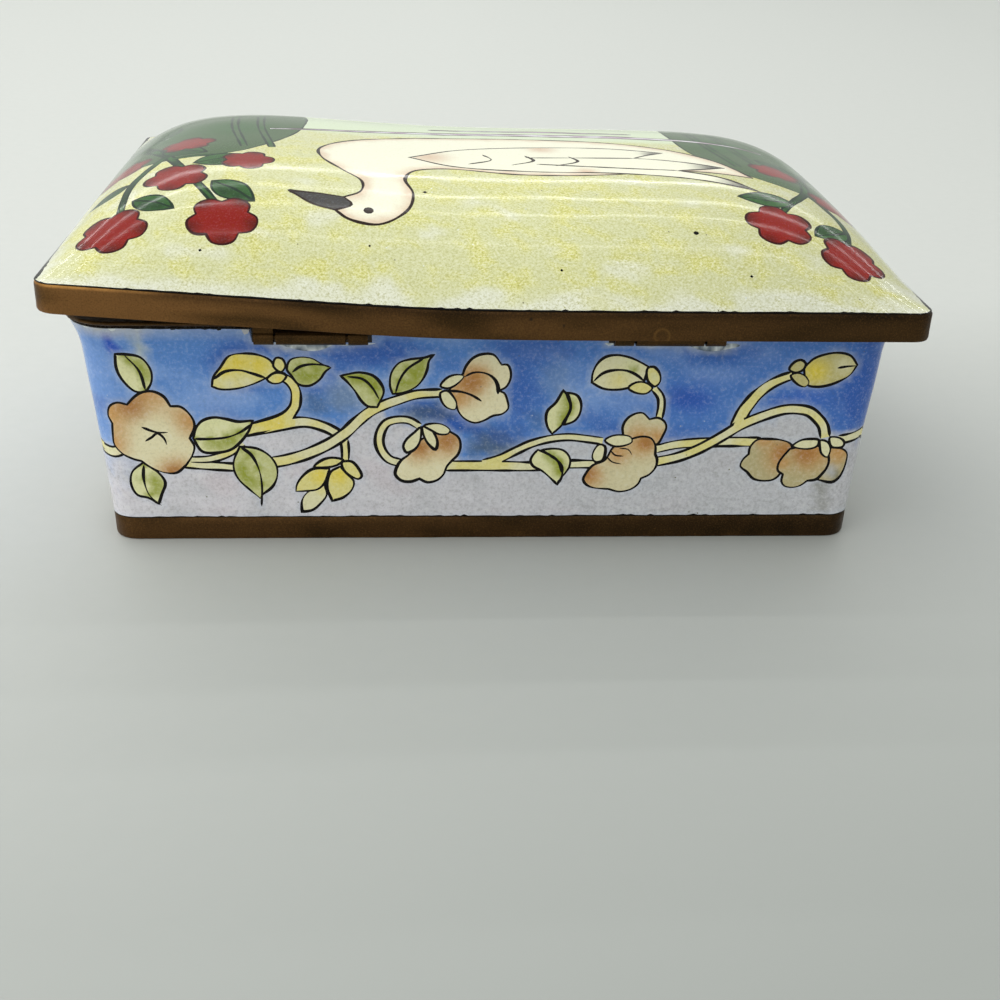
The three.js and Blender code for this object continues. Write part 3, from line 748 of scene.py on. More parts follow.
def wall_ground(points):
    """Blue over lilac, clouded by the brush, with smudges and one painted shadow. Both darken towards the
    right: the lilac as painted shade, the blue partly as its own deeper colour and partly as painted shade.
    """
    u, z = points.T
    across, deep, _ = wall_point(u, z, 0.0).T
    flow = np.column_stack([across + 1.7 * deep, z])
    # Painted shade: the blue deepens and the lilac greys towards the right, where less light falls; part of
    # the blue's deepening is its own colour.
    blue = mix(layered(BLUE, BLUE_CLOUDS, flow), DEEP_BLUE, 0.45 * step_up(-20, 46, across))
    lilac = mix(layered(LILAC, LILAC_CLOUDS, flow), GREY_LILAC, 0.75 * step_up(-35, 30, across))
    lilac *= (1 + 0.07 * cloud(flow, 0.9, 10.0))[:, None]
    above = step_up(-0.45, 0.45, z - border_height(u) + 0.3 * cloud(flow, 1.2, 4.0))
    rows = mix(lilac, blue, above)
    for x, y, wide, high, tone, share in SMUDGES_AND_SHADOW:
        gap = np.hypot((u - x) / wide, (z - y) / high) + 0.3 * cloud(points, 0.9, x)
        rows = mix(rows, tone, share * (1 - step_up(0.3, 1.2, gap)))
    return with_grain(rows, 0.95 - 0.45 * above)


HALO_START = 0.1
HALO_END = 0.7
HALO_SHARE = 0.36


def haloed(picture, ground):
    """Ground that pales close to the painted edges."""
    corners = np.vstack([layer[0] for layer in picture.layers])
    tree = KDTree(len(corners))
    for number, (u, z) in enumerate(corners):
        tree.insert((u, z, 0), number)
    tree.balance()

    def paint(points):
        rows = ground(points)
        gap = np.array([tree.find((u, z, 0))[2] for u, z in points])
        rows[:, :3] = mix(rows[:, :3], HALO, HALO_SHARE * (1 - step_up(HALO_START, HALO_END, gap)))
        return rows
    return paint


# Outlines of the losses, then nicks in the top edge: place, half width, depth and colour
CHIPS = (
    [(-25, 26.6), (-23.8, 26.2), (-21.8, 25.65), (-19.8, 25.75), (-18.6, 26.3), (-18.2, 26.6),
    (-21, 26.66)], [(-18, 26.45), (-16.6, 26.35), (-14.2, 26.5), (-13.4, 26.66), (-15.6, 26.62)],
    [(23.4, 26.5), (24.4, 26.05), (25.6, 25.75), (27, 25.85), (28.4, 26.15), (29.4, 26.5), (29, 26.78),
    (25, 26.62)], [(13.4, 26.8), (13.8, 26.45), (14.4, 26.6), (15, 26.5), (15.2, 26.64)], [(18, 26.5),
    (18.8, 26.35), (19.6, 26.5), (20.4, 26.6), (19, 26.64)],
)
NICKS = (
    (-45.6, 0.5, 0.3, FILLER), (-44.5, 0.7, 0.45, GREY_LILAC), (-43.2, 0.5, 0.5, FILLER),
    (-41.9, 0.4, 0.3, GREY_LILAC), (-40.4, 0.6, 0.3, FILLER), (-36.4, 0.5, 0.3, INK),
    (-31.2, 0.4, 0.35, INK), (-28.2, 0.5, 0.9, GREY_LILAC),
)


def front_chips(picture):
    """Hinge notches in dark brown, partly bare metal and partly painted shade behind the hinge knuckles, and
    losses and filler along the wall's top edge.
    """
    for x in (-NOTCH_X, NOTCH_X):
        low = NOTCH_BOTTOM + 0.03
        sides = x - NOTCH_HALF, x + NOTCH_HALF
        bare = [(sides[0], low), (sides[1], low), (sides[1], WALL_TOP), (sides[0], WALL_TOP)]
        # Dark brown behind the hinge: bare metal, and painted shade for the gaps between the knuckles.
        picture.fill(np.array(bare), plain(BARE_EDGE, 0.0))
    for outline in CHIPS:
        picture.fill(curve(outline, True), clouded(FILLER, SLATE, 0.3, 0.9))
    for x, wide, deep, tone in NICKS:
        nick = curve([(x - wide, WALL_TOP), (x - 0.3 * wide, WALL_TOP - deep),
                    (x + 0.5 * wide, WALL_TOP - 0.8 * deep), (x + wide, WALL_TOP)])
        picture.fill(nick, plain(tone, 0.3))


THINNEST_EDGE = 0.05
EDGE_STEP = 0.45


def ragged_line(picture, place, length, width, step):
    """Dark fired edge with small nibs along a whole side, of a width that may change along it."""
    run = np.arange(-length / 2, length / 2 + step / 2, step)
    nibs = np.maximum(0, wander(run, 1.3, 9.0) - 0.3)
    half = width * (0.45 + 0.3 * wander(run, 0.5, 7.0) + 2.2 * nibs)
    picture.line(place(run), np.maximum(half, THINNEST_EDGE), False, plain(INK, 0.0))


def side_scroll(b, start, height, end):
    """Plainer scroll for the walls that are turned away: a waving stem with leaves and blossoms, from a
    corner of the front to the middle of the back."""
    way = 1 if end > start else -1
    run = np.linspace(start, end, round(abs(end - start) / 4))
    b.stem(list(zip(run, [height, *border_height(run[1:])])), [1.1, 1.1])
    for number, u in enumerate(np.arange(start + 8 * way, end - 7 * way, 10.0 * way)):
        z = float(border_height(np.array(u)))
        up = 1 if number % 2 else -1
        b.stem([(u - 3 * way, z), (u - way, z + up * 2.6), (u + 1.6 * way, z + up * 4.6)], [0.8, 0.7])
        if number % 3 == 0:
            blossom(b, (u + 3.2 * way, z + up * 5.4), 3.4, 6, u)
        else:
            leaf_at(b, (u + 1.4 * way, z + up * 4.4), math.radians(90 - way * (90 - 35 * up)), 5.2, 1.7)
            leaf_at(b, (u + way, z + up * 4.2), math.radians(90 - way * (90 - 110 * up)), 4.4, 1.5)
        along = u + 4.6 * way
        leaf_at(b, (along, float(border_height(np.array(along)))), math.radians(90 - way * (90 + 60 * up)),
                4.8, 1.5)


def leaf_at(b, base, angle, length, half_width, pale=LEAF_PALE, green=LEAF_GREEN):
    """Leaf that grows from a base in a direction."""
    ahead = np.array([math.cos(angle), math.sin(angle)]) * length
    left = np.array([-math.sin(angle), math.cos(angle)]) * half_width
    base = np.array(base)
    one = [base + ahead * t + left * w for t, w in ((0.2, 0.75), (0.5, 1.0), (0.8, 0.55))]
    other = [base + ahead * t - left * w for t, w in ((0.85, 0.45), (0.5, 1.0), (0.2, 0.7))]
    rib = [base + ahead * 0.05, base + ahead * 0.5 + left * 0.15, base + ahead * 0.97]
    b.leaf(tuple(base), one, tuple(base + ahead), other, [tuple(p) for p in rib], pale, green)


def blossom(b, centre, radius, lobes, turn, tone=PETAL, shade=PEACH, lines=3):
    """Open blossom of round lobes, with lines across its middle."""
    x, y = centre
    arcs = []
    for number in range(lobes):
        angles = turn + (number + np.array([0.0, 0.25, 0.5, 0.75])) * 2 * math.pi / lobes
        reach = radius * np.array([0.78, 0.98, 1.03, 0.98])
        arcs.append(list(zip(x + reach * np.cos(angles), y + reach * np.sin(angles))))
    spots = [(lobe[2][0], lobe[2][1], radius * 0.55, shade) for lobe in arcs]
    b.petals(arcs, tone, spots)
    for number in range(lines):
        angle = turn + number * math.pi / lines
        dx = 0.3 * radius * math.cos(angle)
        dy = 0.3 * radius * math.sin(angle)
        b.stroke([(x - dx, y - dy), (x, y), (x + dx, y + dy)], b.width * 0.8)


def wall_picture():
    """The whole drawing round the walls."""
    picture = Picture()
    front = Brush(picture, front_place, 0.31, FINE, 0.6)
    front_stems(front)
    front_leaves(front)
    front_buds(front)
    front_flowers(front)
    front_chips(picture)
    turned = Brush(picture, lambda p: p, 0.3, COARSE, 0.5)
    side_scroll(turned, 46.8, 14.4, WALL_ROUND / 2 - 0.1)
    side_scroll(turned, -47.1, 12.5, -WALL_ROUND / 2 + 0.1)
    for height in (WALL_BOTTOM + 0.04, WALL_TOP - 0.04):
        ragged_line(picture, lambda s: np.column_stack([s, np.full(len(s), height)]), WALL_ROUND - 1, 0.24,
                    COARSE)
    return picture


# Meshes

SHARP_ANGLE = 38
PLAIN_GRAIN = 0.5


def make_piece(name, points, faces, colours, material, body, node):
    """Mesh piece in metres with a colour and grain at each face corner."""
    mesh = bpy.data.meshes.new(name)
    mesh.from_pydata((np.asarray(points) * MM).tolist(), [], faces)
    mesh.validate()
    layer = mesh.color_attributes.new("paint", "FLOAT_COLOR", "CORNER")
    layer.data.foreach_set("color", np.asarray(colours, dtype=np.float32).ravel())
    mesh.shade_smooth()
    mesh.set_sharp_from_angle(angle=math.radians(SHARP_ANGLE))
    mesh.materials.append(material)
    piece = bpy.data.objects.new(name, mesh)
    bpy.context.scene.collection.objects.link(piece)
    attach(piece, body)
    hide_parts(node)


def bands(count, rows):
    """Quads in so many rows between closed loops of so many points, numbered one loop after another."""
    faces = []
    for first in range(0, rows * count, count):
        for i in range(count):
            j = (i + 1) % count
            faces.append((first + i, first + j, first + count + j, first + count + i))
    return faces


def lined(count, loops, tones):
    """Faces from an edge of so many points through loops to a fan, with a colour for each band."""
    faces = bands(count, len(loops))
    last = len(loops) * count
    faces += [(last + i, last + (i + 1) % count, last + count) for i in range(count)]
    rows = [np.tile(np.append(tone, PLAIN_GRAIN), (4 * count, 1)) for tone in tones]
    rows.append(np.tile(np.append(tones[-1], PLAIN_GRAIN), (3 * count, 1)))
    return faces, np.vstack(rows)


def shrunk(loop, shares):
    """Smaller copies of a loop at its own height, and last its middle point."""
    return [loop * (share, share, 1) for share in shares], loop.mean(axis=0)[None]


def notched(place, u):
    """Points of the tray with those in a hinge notch pushed back to its bottom."""
    over = np.abs(np.abs(u) - NOTCH_X) < NOTCH_HALF + NOTCH_SLACK
    over &= place[:, 2] > NOTCH_BOTTOM + NOTCH_SLACK
    over &= place[:, 1] < -NOTCH_BACK
    place[over, 1] = -NOTCH_BACK
    return place


def tray_stations():
    """Offsets and heights of the tray's section: from the lip down the inside, and under the foot."""
    top = float(wall_offset(WALL_TOP))
    bed = WALL_TOP + RIM_BED
    inner = [(top - 0.3, WALL_TOP + 0.1), (top - 0.4, bed), (top - WALL_THICKNESS, bed)]
    heights = np.linspace(WALL_TOP - 0.3, FLOOR_TOP + COVE, 9)
    inner += [(float(wall_offset(h)) - WALL_THICKNESS, h) for h in heights]
    floor = float(wall_offset(FLOOR_TOP + COVE)) - WALL_THICKNESS
    for turn in np.radians([15, 30, 45, 60, 75, 90]):
        inner.append((floor - COVE * (1 - math.cos(turn)), FLOOR_TOP + COVE * (1 - math.sin(turn))))
    under = [(-BAND_THICKNESS - 0.1, WALL_BOTTOM), (-WALL_THICKNESS, FLOOR_UNDERSIDE)]
    return inner, under


WALL_DENT = 0.04
FLOOR_SHARES = (0.75, 0.45, 0.15)


def base_body(material):
    """Painted tray: the drawn outside, the lip, the plain inside and the underside."""
    picture = wall_picture()
    half = WALL_ROUND / 2
    notch = [side * (NOTCH_X + end * NOTCH_HALF) for side in (-1, 1) for end in (-1, 1)]
    across = np.unique(np.append(np.linspace(-half, half, WALL_COLUMNS), notch))
    up = np.append(np.linspace(WALL_BOTTOM, NOTCH_BOTTOM, WALL_ROWS), [NOTCH_BOTTOM + 0.02, WALL_TOP])
    ends = np.column_stack([np.full(len(up) - 2, half), up[1:-1]])
    border = np.vstack([
        np.column_stack([across, np.full(len(across), WALL_BOTTOM)]),
        ends,
        np.column_stack([across[::-1], np.full(len(across), WALL_TOP)]),
        ends[::-1] * (-1, 1),
    ])
    grid = np.array([(u, z) for z in up[1:-1] for u in across[1:-1]])
    corners = (-half, WALL_BOTTOM), (half, WALL_TOP)
    points, triangles, owner = picture.cut(border, grid, lambda run: np.clip(run, *corners))
    colours = [picture.colours(points, triangles, owner, haloed(picture, wall_ground))]
    u, z = points.T
    offset = wall_offset(z) - WALL_DENT * (1 + cloud(points, 6.0, 6.0))
    place = [notched(wall_point(u, z, offset), u)]
    seam = {round(z[i], MERGE_DIGITS): i for i in np.flatnonzero(u < -half + SAME_PLACE)}
    kept = np.arange(len(points))
    for i in np.flatnonzero(u > half - SAME_PLACE):
        kept[i] = seam.get(round(z[i], MERGE_DIGITS), i)
    faces = [tuple(f) for f in kept[triangles]]
    first = len(points)
    for height, stations, turn in zip((WALL_TOP, WALL_BOTTOM), tray_stations(), (1, -1)):
        edge = np.flatnonzero((np.abs(z - height) < SAME_PLACE) & (kept == np.arange(len(points))))
        edge = edge[np.argsort(u[edge])]
        loops = [notched(wall_point(u[edge], h, out), u[edge]) for out, h in stations]
        inner, middle = shrunk(loops[-1], FLOOR_SHARES)
        loops += inner
        tones = [BARE_EDGE] * 2 + [INSIDE] * (len(loops) - 2)
        made, rows = lined(len(edge), loops, tones)
        number = np.concatenate([edge, first + np.arange(len(loops) * len(edge) + 1)])
        faces += [tuple(int(number[i]) for i in f)[::turn] for f in made]
        colours.append(rows)
        place += [*loops, middle]
        first += len(loops) * len(edge) + 1
    make_piece("painted_tray", np.vstack(place), faces, np.vstack(colours), material, "tray",
               "base_body")


# Painted lid

LID_INSET = 0.15
LID_HALF_X = RIM_HALF_X - LID_INSET
LID_HALF_Y = RIM_HALF_Y - LID_INSET
LID_CORNER = RIM_CORNER - LID_INSET
LID_ARC = LID_CORNER * math.pi / 2
LID_ROUND = ring_length(LID_HALF_X, LID_HALF_Y, LID_CORNER, LID_ARC)
LID_EDGE_POINTS = 440
LID_EDGE_GAP = 0.06
EDGE_PROUD = 0.08
BRASS_TOP = 31.8
CREST_DROP = 0.06
BIRD_PLACE = np.array([3.0, -1.5])
BIRD_SCALE = np.array([1.25, 1.1])
LID_GRID = (131, 99)
LID_GRID_SHARE = 0.995
LID_GRID_BULGE = 0.45
LID_DENT = 0.02
HOLLOW_SHARES = (0.99, 0.975, 0.95, 0.92, 0.88, 0.82, 0.74, 0.62, 0.48, 0.32, 0.15)


def bird_place(points):
    """The bird is drawn upright and faces the lid's opening side, so it is turned half round."""
    return BIRD_PLACE - points * BIRD_SCALE


def lid_bird(b):
    """Cream water bird with a folded wing, on lilac ripples."""
    b.stem([(-29, -6.2), (-20, -7.6), (-8, -8.8), (4, -8.6), (16, -6.6), (25, -5)], [0.5, 1.7, 1.3, 0.5],
           RIBBON, LILAC)
    b.stem([(-15, -10.8), (-5, -11.8), (8, -11)], [0.4, 1.2, 0.4], RIBBON, LILAC)
    tail = (-25, 9.5)
    bill_top = (16.9, 21.6)
    bill_tip = (21.4, 18.4)
    bill_root = (16.2, 19)
    back = [(-18, 8.6), (-10, 10.6), (-1, 11), (6, 9.6), (9.4, 10.8), (10.4, 13.6), (9.6, 17.4), (10.2, 21),
            (12.8, 23.6), (15.6, 23)]
    breast = [(14.7, 17.6), (14.6, 15), (16.6, 12), (18.8, 8), (19.2, 4), (16.6, -0.6), (10, -4.4), (1, -6),
              (-9, -5.4), (-17, -2), (-22, 3.4)]
    outline = joined(b.curve([tail, *back, bill_top]), b.curve([bill_top, bill_root]),
                     b.curve([bill_root, *breast, tail]))
    b.patch(outline, edged(BIRD_CREAM, BIRD_EDGE, np.vstack([outline, outline[:1]]), 1.8, b.grain))
    bill = joined(b.curve([bill_top, (19, 20.8), bill_tip]), b.curve([bill_tip, (18.6, 18.6), bill_root]),
                  b.curve([bill_root, (15.4, 20.4), bill_top]))
    b.patch(bill, plain(CHARCOAL, b.grain))
    eye = np.linspace(0, 2 * math.pi, 10)[1:]
    b.picture.fill(b.place(np.column_stack([13.8 + 0.5 * np.cos(eye), 21.3 + 0.6 * np.sin(eye)])),
                plain(UMBER, 0.0))
    b.petals([[(10, 5.6), (6, 8.4), (-2, 9.8), (-11, 10), (-18, 11.2)], [(-25, 14), (-21.5, 10.4)],
              [(-17.5, 8.4), (-20, 7.6)], [(-22.6, 6.4), (-17, 4.2)], [(-13.5, 3.4), (-15, 1.8)],
              [(-17, 0.2), (-10, -1.6), (-2, -1.2), (5, 1)]], BIRD_CREAM,
             [(-24, 13, 5.5, CHARCOAL), (-21.5, 6.6, 4, CHARCOAL), (-16, 1, 2.6, CHARCOAL),
              (8, 5, 4.5, BIRD_EDGE), (-4, -0.5, 3, BIRD_EDGE), (-8, 9.6, 2.4, BIRD_EDGE)])
    b.stroke([(-17.5, 8.4), (-10, 7.8), (-3, 6.8)])
    b.stroke([(-13.5, 3.4), (-8, 3.6), (-2, 4)])
    for x in (4.0, -0.4, -5.0):
        b.stroke([(x, 7.4), (x - 2.4, 5.4), (x - 1.6, 3)])


LID_LEAVES = (
    (-36, -14, 20, 8), (-43.5, -17, 200, 5), (-33, -20, 320, 7), (-42, -23, 330, 6), (-45, 3, 60, 8),
    (-41, -6, 330, 7), (38, -19, 180, 7), (43, -4, 150, 7), (44, -23, 215, 6), (46, 3, 100, 7),
)
LID_BLOSSOMS = (
    (-31, -28, 4.0), (-37.5, -18, 3.8), (-43.5, -29, 4.0), (-45.6, -8.5, 3.4), (-38, -4, 3.4),
    (-29.5, -13, 3.2), (35, -25, 4.0), (43, -29.5, 3.8), (44.8, -13.5, 3.3), (38.6, -6, 3.4),
)


def lid_sprays(b, red):
    """Red blossoms and green leaves on stems at both ends."""
    b.stem([(-48, 9), (-44, 0), (-40, -9), (-36, -18), (-31, -27)], [1.2, 1.0, 0.7], GREEN, DARK_GREEN)
    b.stem([(-40, -9), (-43, -18), (-43, -27)], [0.9, 0.7], GREEN, DARK_GREEN)
    b.stem([(-39, -11), (-34, -11), (-29.5, -13)], [0.7, 0.6], GREEN, DARK_GREEN)
    b.stem([(48, 6), (43, -3), (41, -13), (36, -22)], [1.2, 1.0, 0.7], GREEN, DARK_GREEN)
    b.stem([(41, -13), (44, -21), (43, -28)], [0.8, 0.6], GREEN, DARK_GREEN)
    for x, y, angle, length in LID_LEAVES:
        leaf_at(b, (x, y), math.radians(angle), length, length * 0.28, GREEN, DARK_GREEN)
    for x, y, radius in LID_BLOSSOMS:
        blossom(red, (x, y), radius, 5, x, RED, DARK_RED, 0)


def lid_fields(picture, b):
    """Green fields at both ends, with reeds."""
    left = b.curve([(-50.5, -6), (-41, -11), (-32, -10), (-27, -4), (-24, 6), (-26, 20), (-36, 24),
                (-50.5, 22)], True)
    right = b.curve([(50.5, -10), (42, -14), (34, -11), (29, -4), (27, 6), (28, 20), (40, 24), (50.5, 22)],
                True)
    for outline, places in ((left, (-44, -33)), (right, (34, 45))):
        picture.fill(outline, shaded(SAGE, [(x, 5, 8, GREEN) for x in places], b.grain))
        b.ink(outline, True, 0.25)
    for x in (-33, -29.5, 31, 34.5):
        b.stem([(x - 1, 16), (x, 5), (x + 2.5, -7)], [0.9, 0.8], SAGE, GREEN)


PINHOLES = (
    (-7.6, -20, 0.32), (24.4, -27.6, 0.36), (-33, -33, 0.22), (8, -33.5, 0.2), (-14, -31, 0.18),
    (30, -34, 0.22),
)


def lid_picture():
    """The whole drawing on the lid."""
    picture = Picture()
    green = Brush(picture, lambda p: p, 0.3, COARSE, 0.12, PINE)
    lid_fields(picture, green)
    lid_sprays(green, Brush(picture, lambda p: p, 0.3, COARSE, 0.12, WINE))
    lid_bird(Brush(picture, bird_place, 0.36, COARSE, 0.25, UMBER))
    for x, y, radius in PINHOLES:
        hole = curve([(x + radius, y), (x, y + radius), (x - radius, y), (x, y - radius)], True)
        picture.fill(hole, plain(INK, 0.0))
    for inset, width in ((0.03, 0.06), (0.1, 0.17)):
        ragged_line(picture,
                    lambda s: ring_point(s, 0, LID_HALF_X, LID_HALF_Y, LID_CORNER, -inset, LID_ARC)[:, :2],
                    LID_ROUND - 0.5, width, EDGE_STEP)
    for end in (-1, 1):
        ragged_line(picture, lambda s: np.column_stack([np.full(len(s), end * (LID_HALF_X - 0.3)), s]),
                    2 * LID_HALF_Y - 3, 0.4, EDGE_STEP)
    return picture


def lid_ground(points):
    """Cream with sponged yellow, whiter along the edge, and mint beyond, with painted shade darkening it
    towards the right.
    """
    x, y = points.T
    patches = cloud(points, (3.6, 2.8), 12.0) + 0.6 * cloud(points, (11.0, 7.0),
                11.0) + 0.7 * cloud(points, 1.1, 16.0)
    yellow = step_up(-0.4, 1.1, patches)
    rows = mix(LID_CREAM, LID_YELLOW, 0.2 + 0.4 * yellow)
    edge = np.minimum(LID_HALF_X - np.abs(x), LID_HALF_Y - np.abs(y))
    rows = mix(rows, LID_WHITE, 0.85 * (1 - step_up(0.3, 2.6,
                edge + 1.7 * cloud(points, (5.0, 2.5), 13.0))))
    rows = mix(rows, LID_WHITE, 0.6 * step_up(0.45, 0.9, cloud(points, (4.5, 3.5), 17.0)))
    # Painted shade: the ground darkens towards the right end.
    rows *= (1 - 0.16 * step_up(0, 48, x))[:, None]
    beyond = step_up(2, 6, y) * (1 - step_up(28, 34, y + 2 * cloud(points, 6.0, 14.0)))
    return with_grain(mix(rows, MINT, beyond), (0.9 + 0.6 * yellow) * (1 - 0.7 * beyond))


def within_lid(points):
    """Points kept a little inside the lid's rounded outline."""
    flat = np.array([LID_HALF_X, LID_HALF_Y]) - LID_CORNER
    core = np.clip(points, -flat, flat)
    out = points - core
    reach = np.maximum(np.linalg.norm(out, axis=1), TINY)
    return core + out * np.minimum(1, (LID_CORNER - LID_EDGE_GAP) / reach)[:, None]


def lid_panel(material):
    """Painted dome with its edge and plain hollow underside."""
    picture = lid_picture()
    run = np.linspace(-LID_ROUND / 2, LID_ROUND / 2, LID_EDGE_POINTS, endpoint=False)
    border = ring_point(run, 0, LID_HALF_X, LID_HALF_Y, LID_CORNER, 0, LID_ARC)[:, :2]
    spread = []
    for count, half in zip(LID_GRID, (LID_HALF_X, LID_HALF_Y)):
        t = np.linspace(-1, 1, count)[1:-1]
        bulged = (1 - LID_GRID_BULGE) * t + LID_GRID_BULGE * np.sin(t * math.pi / 2)
        spread.append(half * LID_GRID_SHARE * bulged)
    grid = np.array([(across, back) for across in spread[0] for back in spread[1]])
    points, triangles, owner = picture.cut(border, grid, within_lid)
    colours = picture.colours(points, triangles, owner, lid_ground)
    x, y = points.T
    edge_height = BRASS_TOP + EDGE_PROUD
    crest = RIM_TOP + DOME_RISE - CREST_DROP
    z = edge_height + lid_lift(x) + dome(x, y, LID_HALF_X, LID_HALF_Y, crest - edge_height)
    z -= LID_DENT * (1.5 + cloud(points, 7.0, 15.0))
    edge = np.array([np.argmin(np.hypot(x - bx, y - by)) for bx, by in border])
    step = PANEL_INSET - LID_INSET
    loops = []
    section = (step, BRASS_TOP + 0.01), (step, PANEL_UNDERSIDE), (step + PANEL_THICKNESS, PANEL_UNDERSIDE)
    for inset, height in section:
        loops.append(ring_point(run, height, LID_HALF_X, LID_HALF_Y, LID_CORNER, -inset, LID_ARC))
    rise = RIM_TOP + DOME_RISE - PANEL_THICKNESS - PANEL_UNDERSIDE
    hollow, middle = shrunk(loops[-1], HOLLOW_SHARES)
    for loop in (*hollow, middle):
        loop[:, 2] += dome(loop[:, 0], loop[:, 1], *np.abs(loops[-1][:, :2]).max(axis=0), rise)
    loops += hollow
    for loop in (*loops, middle):
        loop[:, 2] += lid_lift(loop[:, 0])
    made, rows = lined(len(edge), loops, [BARE_EDGE] + [INSIDE] * (len(loops) - 1))
    number = np.concatenate([edge, len(points) + np.arange(len(loops) * len(edge) + 1)])
    faces = [tuple(f) for f in triangles] + [tuple(int(number[i]) for i in f)[::-1] for f in made]
    place = np.vstack([np.column_stack([x, y, z]), *loops, middle])
    make_piece("painted_lid", place, faces, np.vstack([colours, rows]), material, "lid",
               "lid_panel")


# Brass rims

BRASS_STEP = 0.8
SHORTEST_ARC = 2.0
FOOT_TONE = 0.4


def swept(half_x, half_y, corner, section):
    """Loops of a section carried round a rounded rectangle, with the distance round it of each column."""
    arc = max(corner * math.pi / 2, SHORTEST_ARC)
    length = ring_length(half_x, half_y, corner, arc)
    run = np.linspace(-length / 2, length / 2, round(length / BRASS_STEP), endpoint=False)
    loops = [ring_point(run, z, half_x, half_y, corner, offset, arc) for offset, z in section]
    return run, loops


def brass_piece(name, loops, tones, material, body, node):
    """Ring of brass from its loops, with a colour for each loop's points."""
    points = np.vstack(loops)
    faces = [tuple(i % len(points) for i in f) for f in bands(len(loops[0]), len(loops))]
    colours = np.vstack(tones)[np.array(faces).ravel()]
    make_piece(name, points, faces, colours, material, body, node)


def dented(run, loops, outer, depth):
    """Loops with the outer face slightly uneven, never proud of its true line."""
    for number in outer:
        loop = loops[number]
        face = np.column_stack([run, loop[:, 2]])
        press = depth * np.maximum(0.1, 1 + cloud(face, (5.0, 2.5), 21.0)) / 2
        press += depth * 0.5 * np.maximum(0, cloud(face, 1.6, 22.0))
        flat = loop[:, :2]
        loop[:, :2] = flat - flat / np.linalg.norm(flat, axis=1)[:, None] * press[:, None]
    return loops


def brass_tone(run, z, bright, painted_shade):
    """Brown brass, clouded and darkened towards old brass by a share of painted shade, with gold where it is
    rubbed and where a highlight is painted.
    """
    points = np.column_stack([run, np.broadcast_to(z, len(run))])
    rows = mix(BRASS, DARK_BRASS, step_up(-0.3, 0.9, cloud(points, (8.0, 2.0), 23.0)))
    rows = mix(rows, OLD_BRASS, painted_shade)
    rows = mix(rows, GOLD, np.clip(bright * (0.75 + 0.5 * cloud(points, 2.5, 24.0)), 0, 1))
    return with_grain(rows, 1.0)


def lid_rim(material):
    """Band round the lid with soft edges and the ledge that carries the dome."""
    section = [(-0.3, RIM_BOTTOM), (-0.08, 28.46), (0, 28.65), (0, 29.4), (0, 30.2), (0, 30.8), (0, 31.4),
               (-0.05, 31.62), (-0.2, 31.77), (-0.45, BRASS_TOP), (-RIM_WALL, 31.76),
               (-RIM_WALL, LEDGE_TOP), (-LEDGE_REACH, LEDGE_TOP), (-LEDGE_REACH, LEDGE_BOTTOM),
               (-RIM_WALL, LEDGE_BOTTOM), (-RIM_WALL, RIM_BOTTOM)]
    run, loops = swept(RIM_HALF_X, RIM_HALF_Y, RIM_CORNER, section)
    loops = dented(run, loops, range(1, 8), 0.12)
    tones = []
    for (_, z), loop in zip(section, loops):
        x = loop[:, 0]
        # Painted highlight: gold along the top edge at the left end; away from that end the top band is
        # darker.
        left = 1 - step_up(-44, -34, x)
        # Painted shade: the brass darkens towards the right.
        painted_shade = 0.5 * step_up(-42, -10, x) + 0.3 * step_up(5, 45, x)
        rows = brass_tone(run, z, step_up(31.4, 31.7, z) * left, painted_shade)
        rows[:, :3] *= 1 - 0.55 * (step_up(30.5, 31.6, z) * (1 - left))[:, None]
        tones.append(rows)
        loop[:, 2] += lid_lift(x)
    brass_piece("brass_lid_rim", loops, tones, material, "lid", "lid_rim")


def foot_band(material):
    """Band round the foot, flush with the wall above it."""
    heights = (0.3, 1.0, 2.0, 2.9)
    section = [(-BAND_THICKNESS, 0.0), (-0.35, 0.0), (-0.08, 0.08)]
    section += [(float(wall_offset(h)), h) for h in heights]
    section += [(float(wall_offset(WALL_BOTTOM)) - 0.12, 3.08), (-BAND_THICKNESS, WALL_BOTTOM)]
    run, loops = swept(FOOT_HALF_X, FOOT_HALF_Y, FOOT_CORNER, section)
    loops = dented(run, loops, range(2, 8), 0.1)
    tones = []
    for (_, z), loop in zip(section, loops):
        # Painted shade: the band darkens towards the right.
        painted_shade = 0.85 * step_up(-35, 45, loop[:, 0])
        rows = brass_tone(run, z, np.full(len(run), 0.1 + 0.25 * step_up(0.5, 0.0, z)), painted_shade)
        rows[:, :3] *= FOOT_TONE
        tones.append(rows)
    brass_piece("brass_foot_band", loops, tones, material, "tray", "base_foot_band")


# Materials

def node_material(name):
    """Empty node material and its shader."""
    material = bpy.data.materials.new(name)
    material.use_nodes = True
    return material, material.node_tree, material.node_tree.nodes["Principled BSDF"]


def link(tree, source, target):
    tree.links.new(source, target)


def noise_node(tree, coords, scale, detail=2.0, rough=0.5):
    """Noise over the object's own coordinates, with features of about 1 / scale metres."""
    node = tree.nodes.new("ShaderNodeTexNoise")
    node.inputs["Scale"].default_value = scale
    node.inputs["Detail"].default_value = detail
    node.inputs["Roughness"].default_value = rough
    link(tree, coords, node.inputs["Vector"])
    return node.outputs["Fac"]


def ranged(tree, value, low, high, start, end):
    """Value carried from one range to another and clamped there."""
    node = tree.nodes.new("ShaderNodeMapRange")
    for socket, number in zip(("From Min", "From Max", "To Min", "To Max"), (low, high, start, end)):
        node.inputs[socket].default_value = number
    link(tree, value, node.inputs["Value"])
    return node.outputs["Result"]


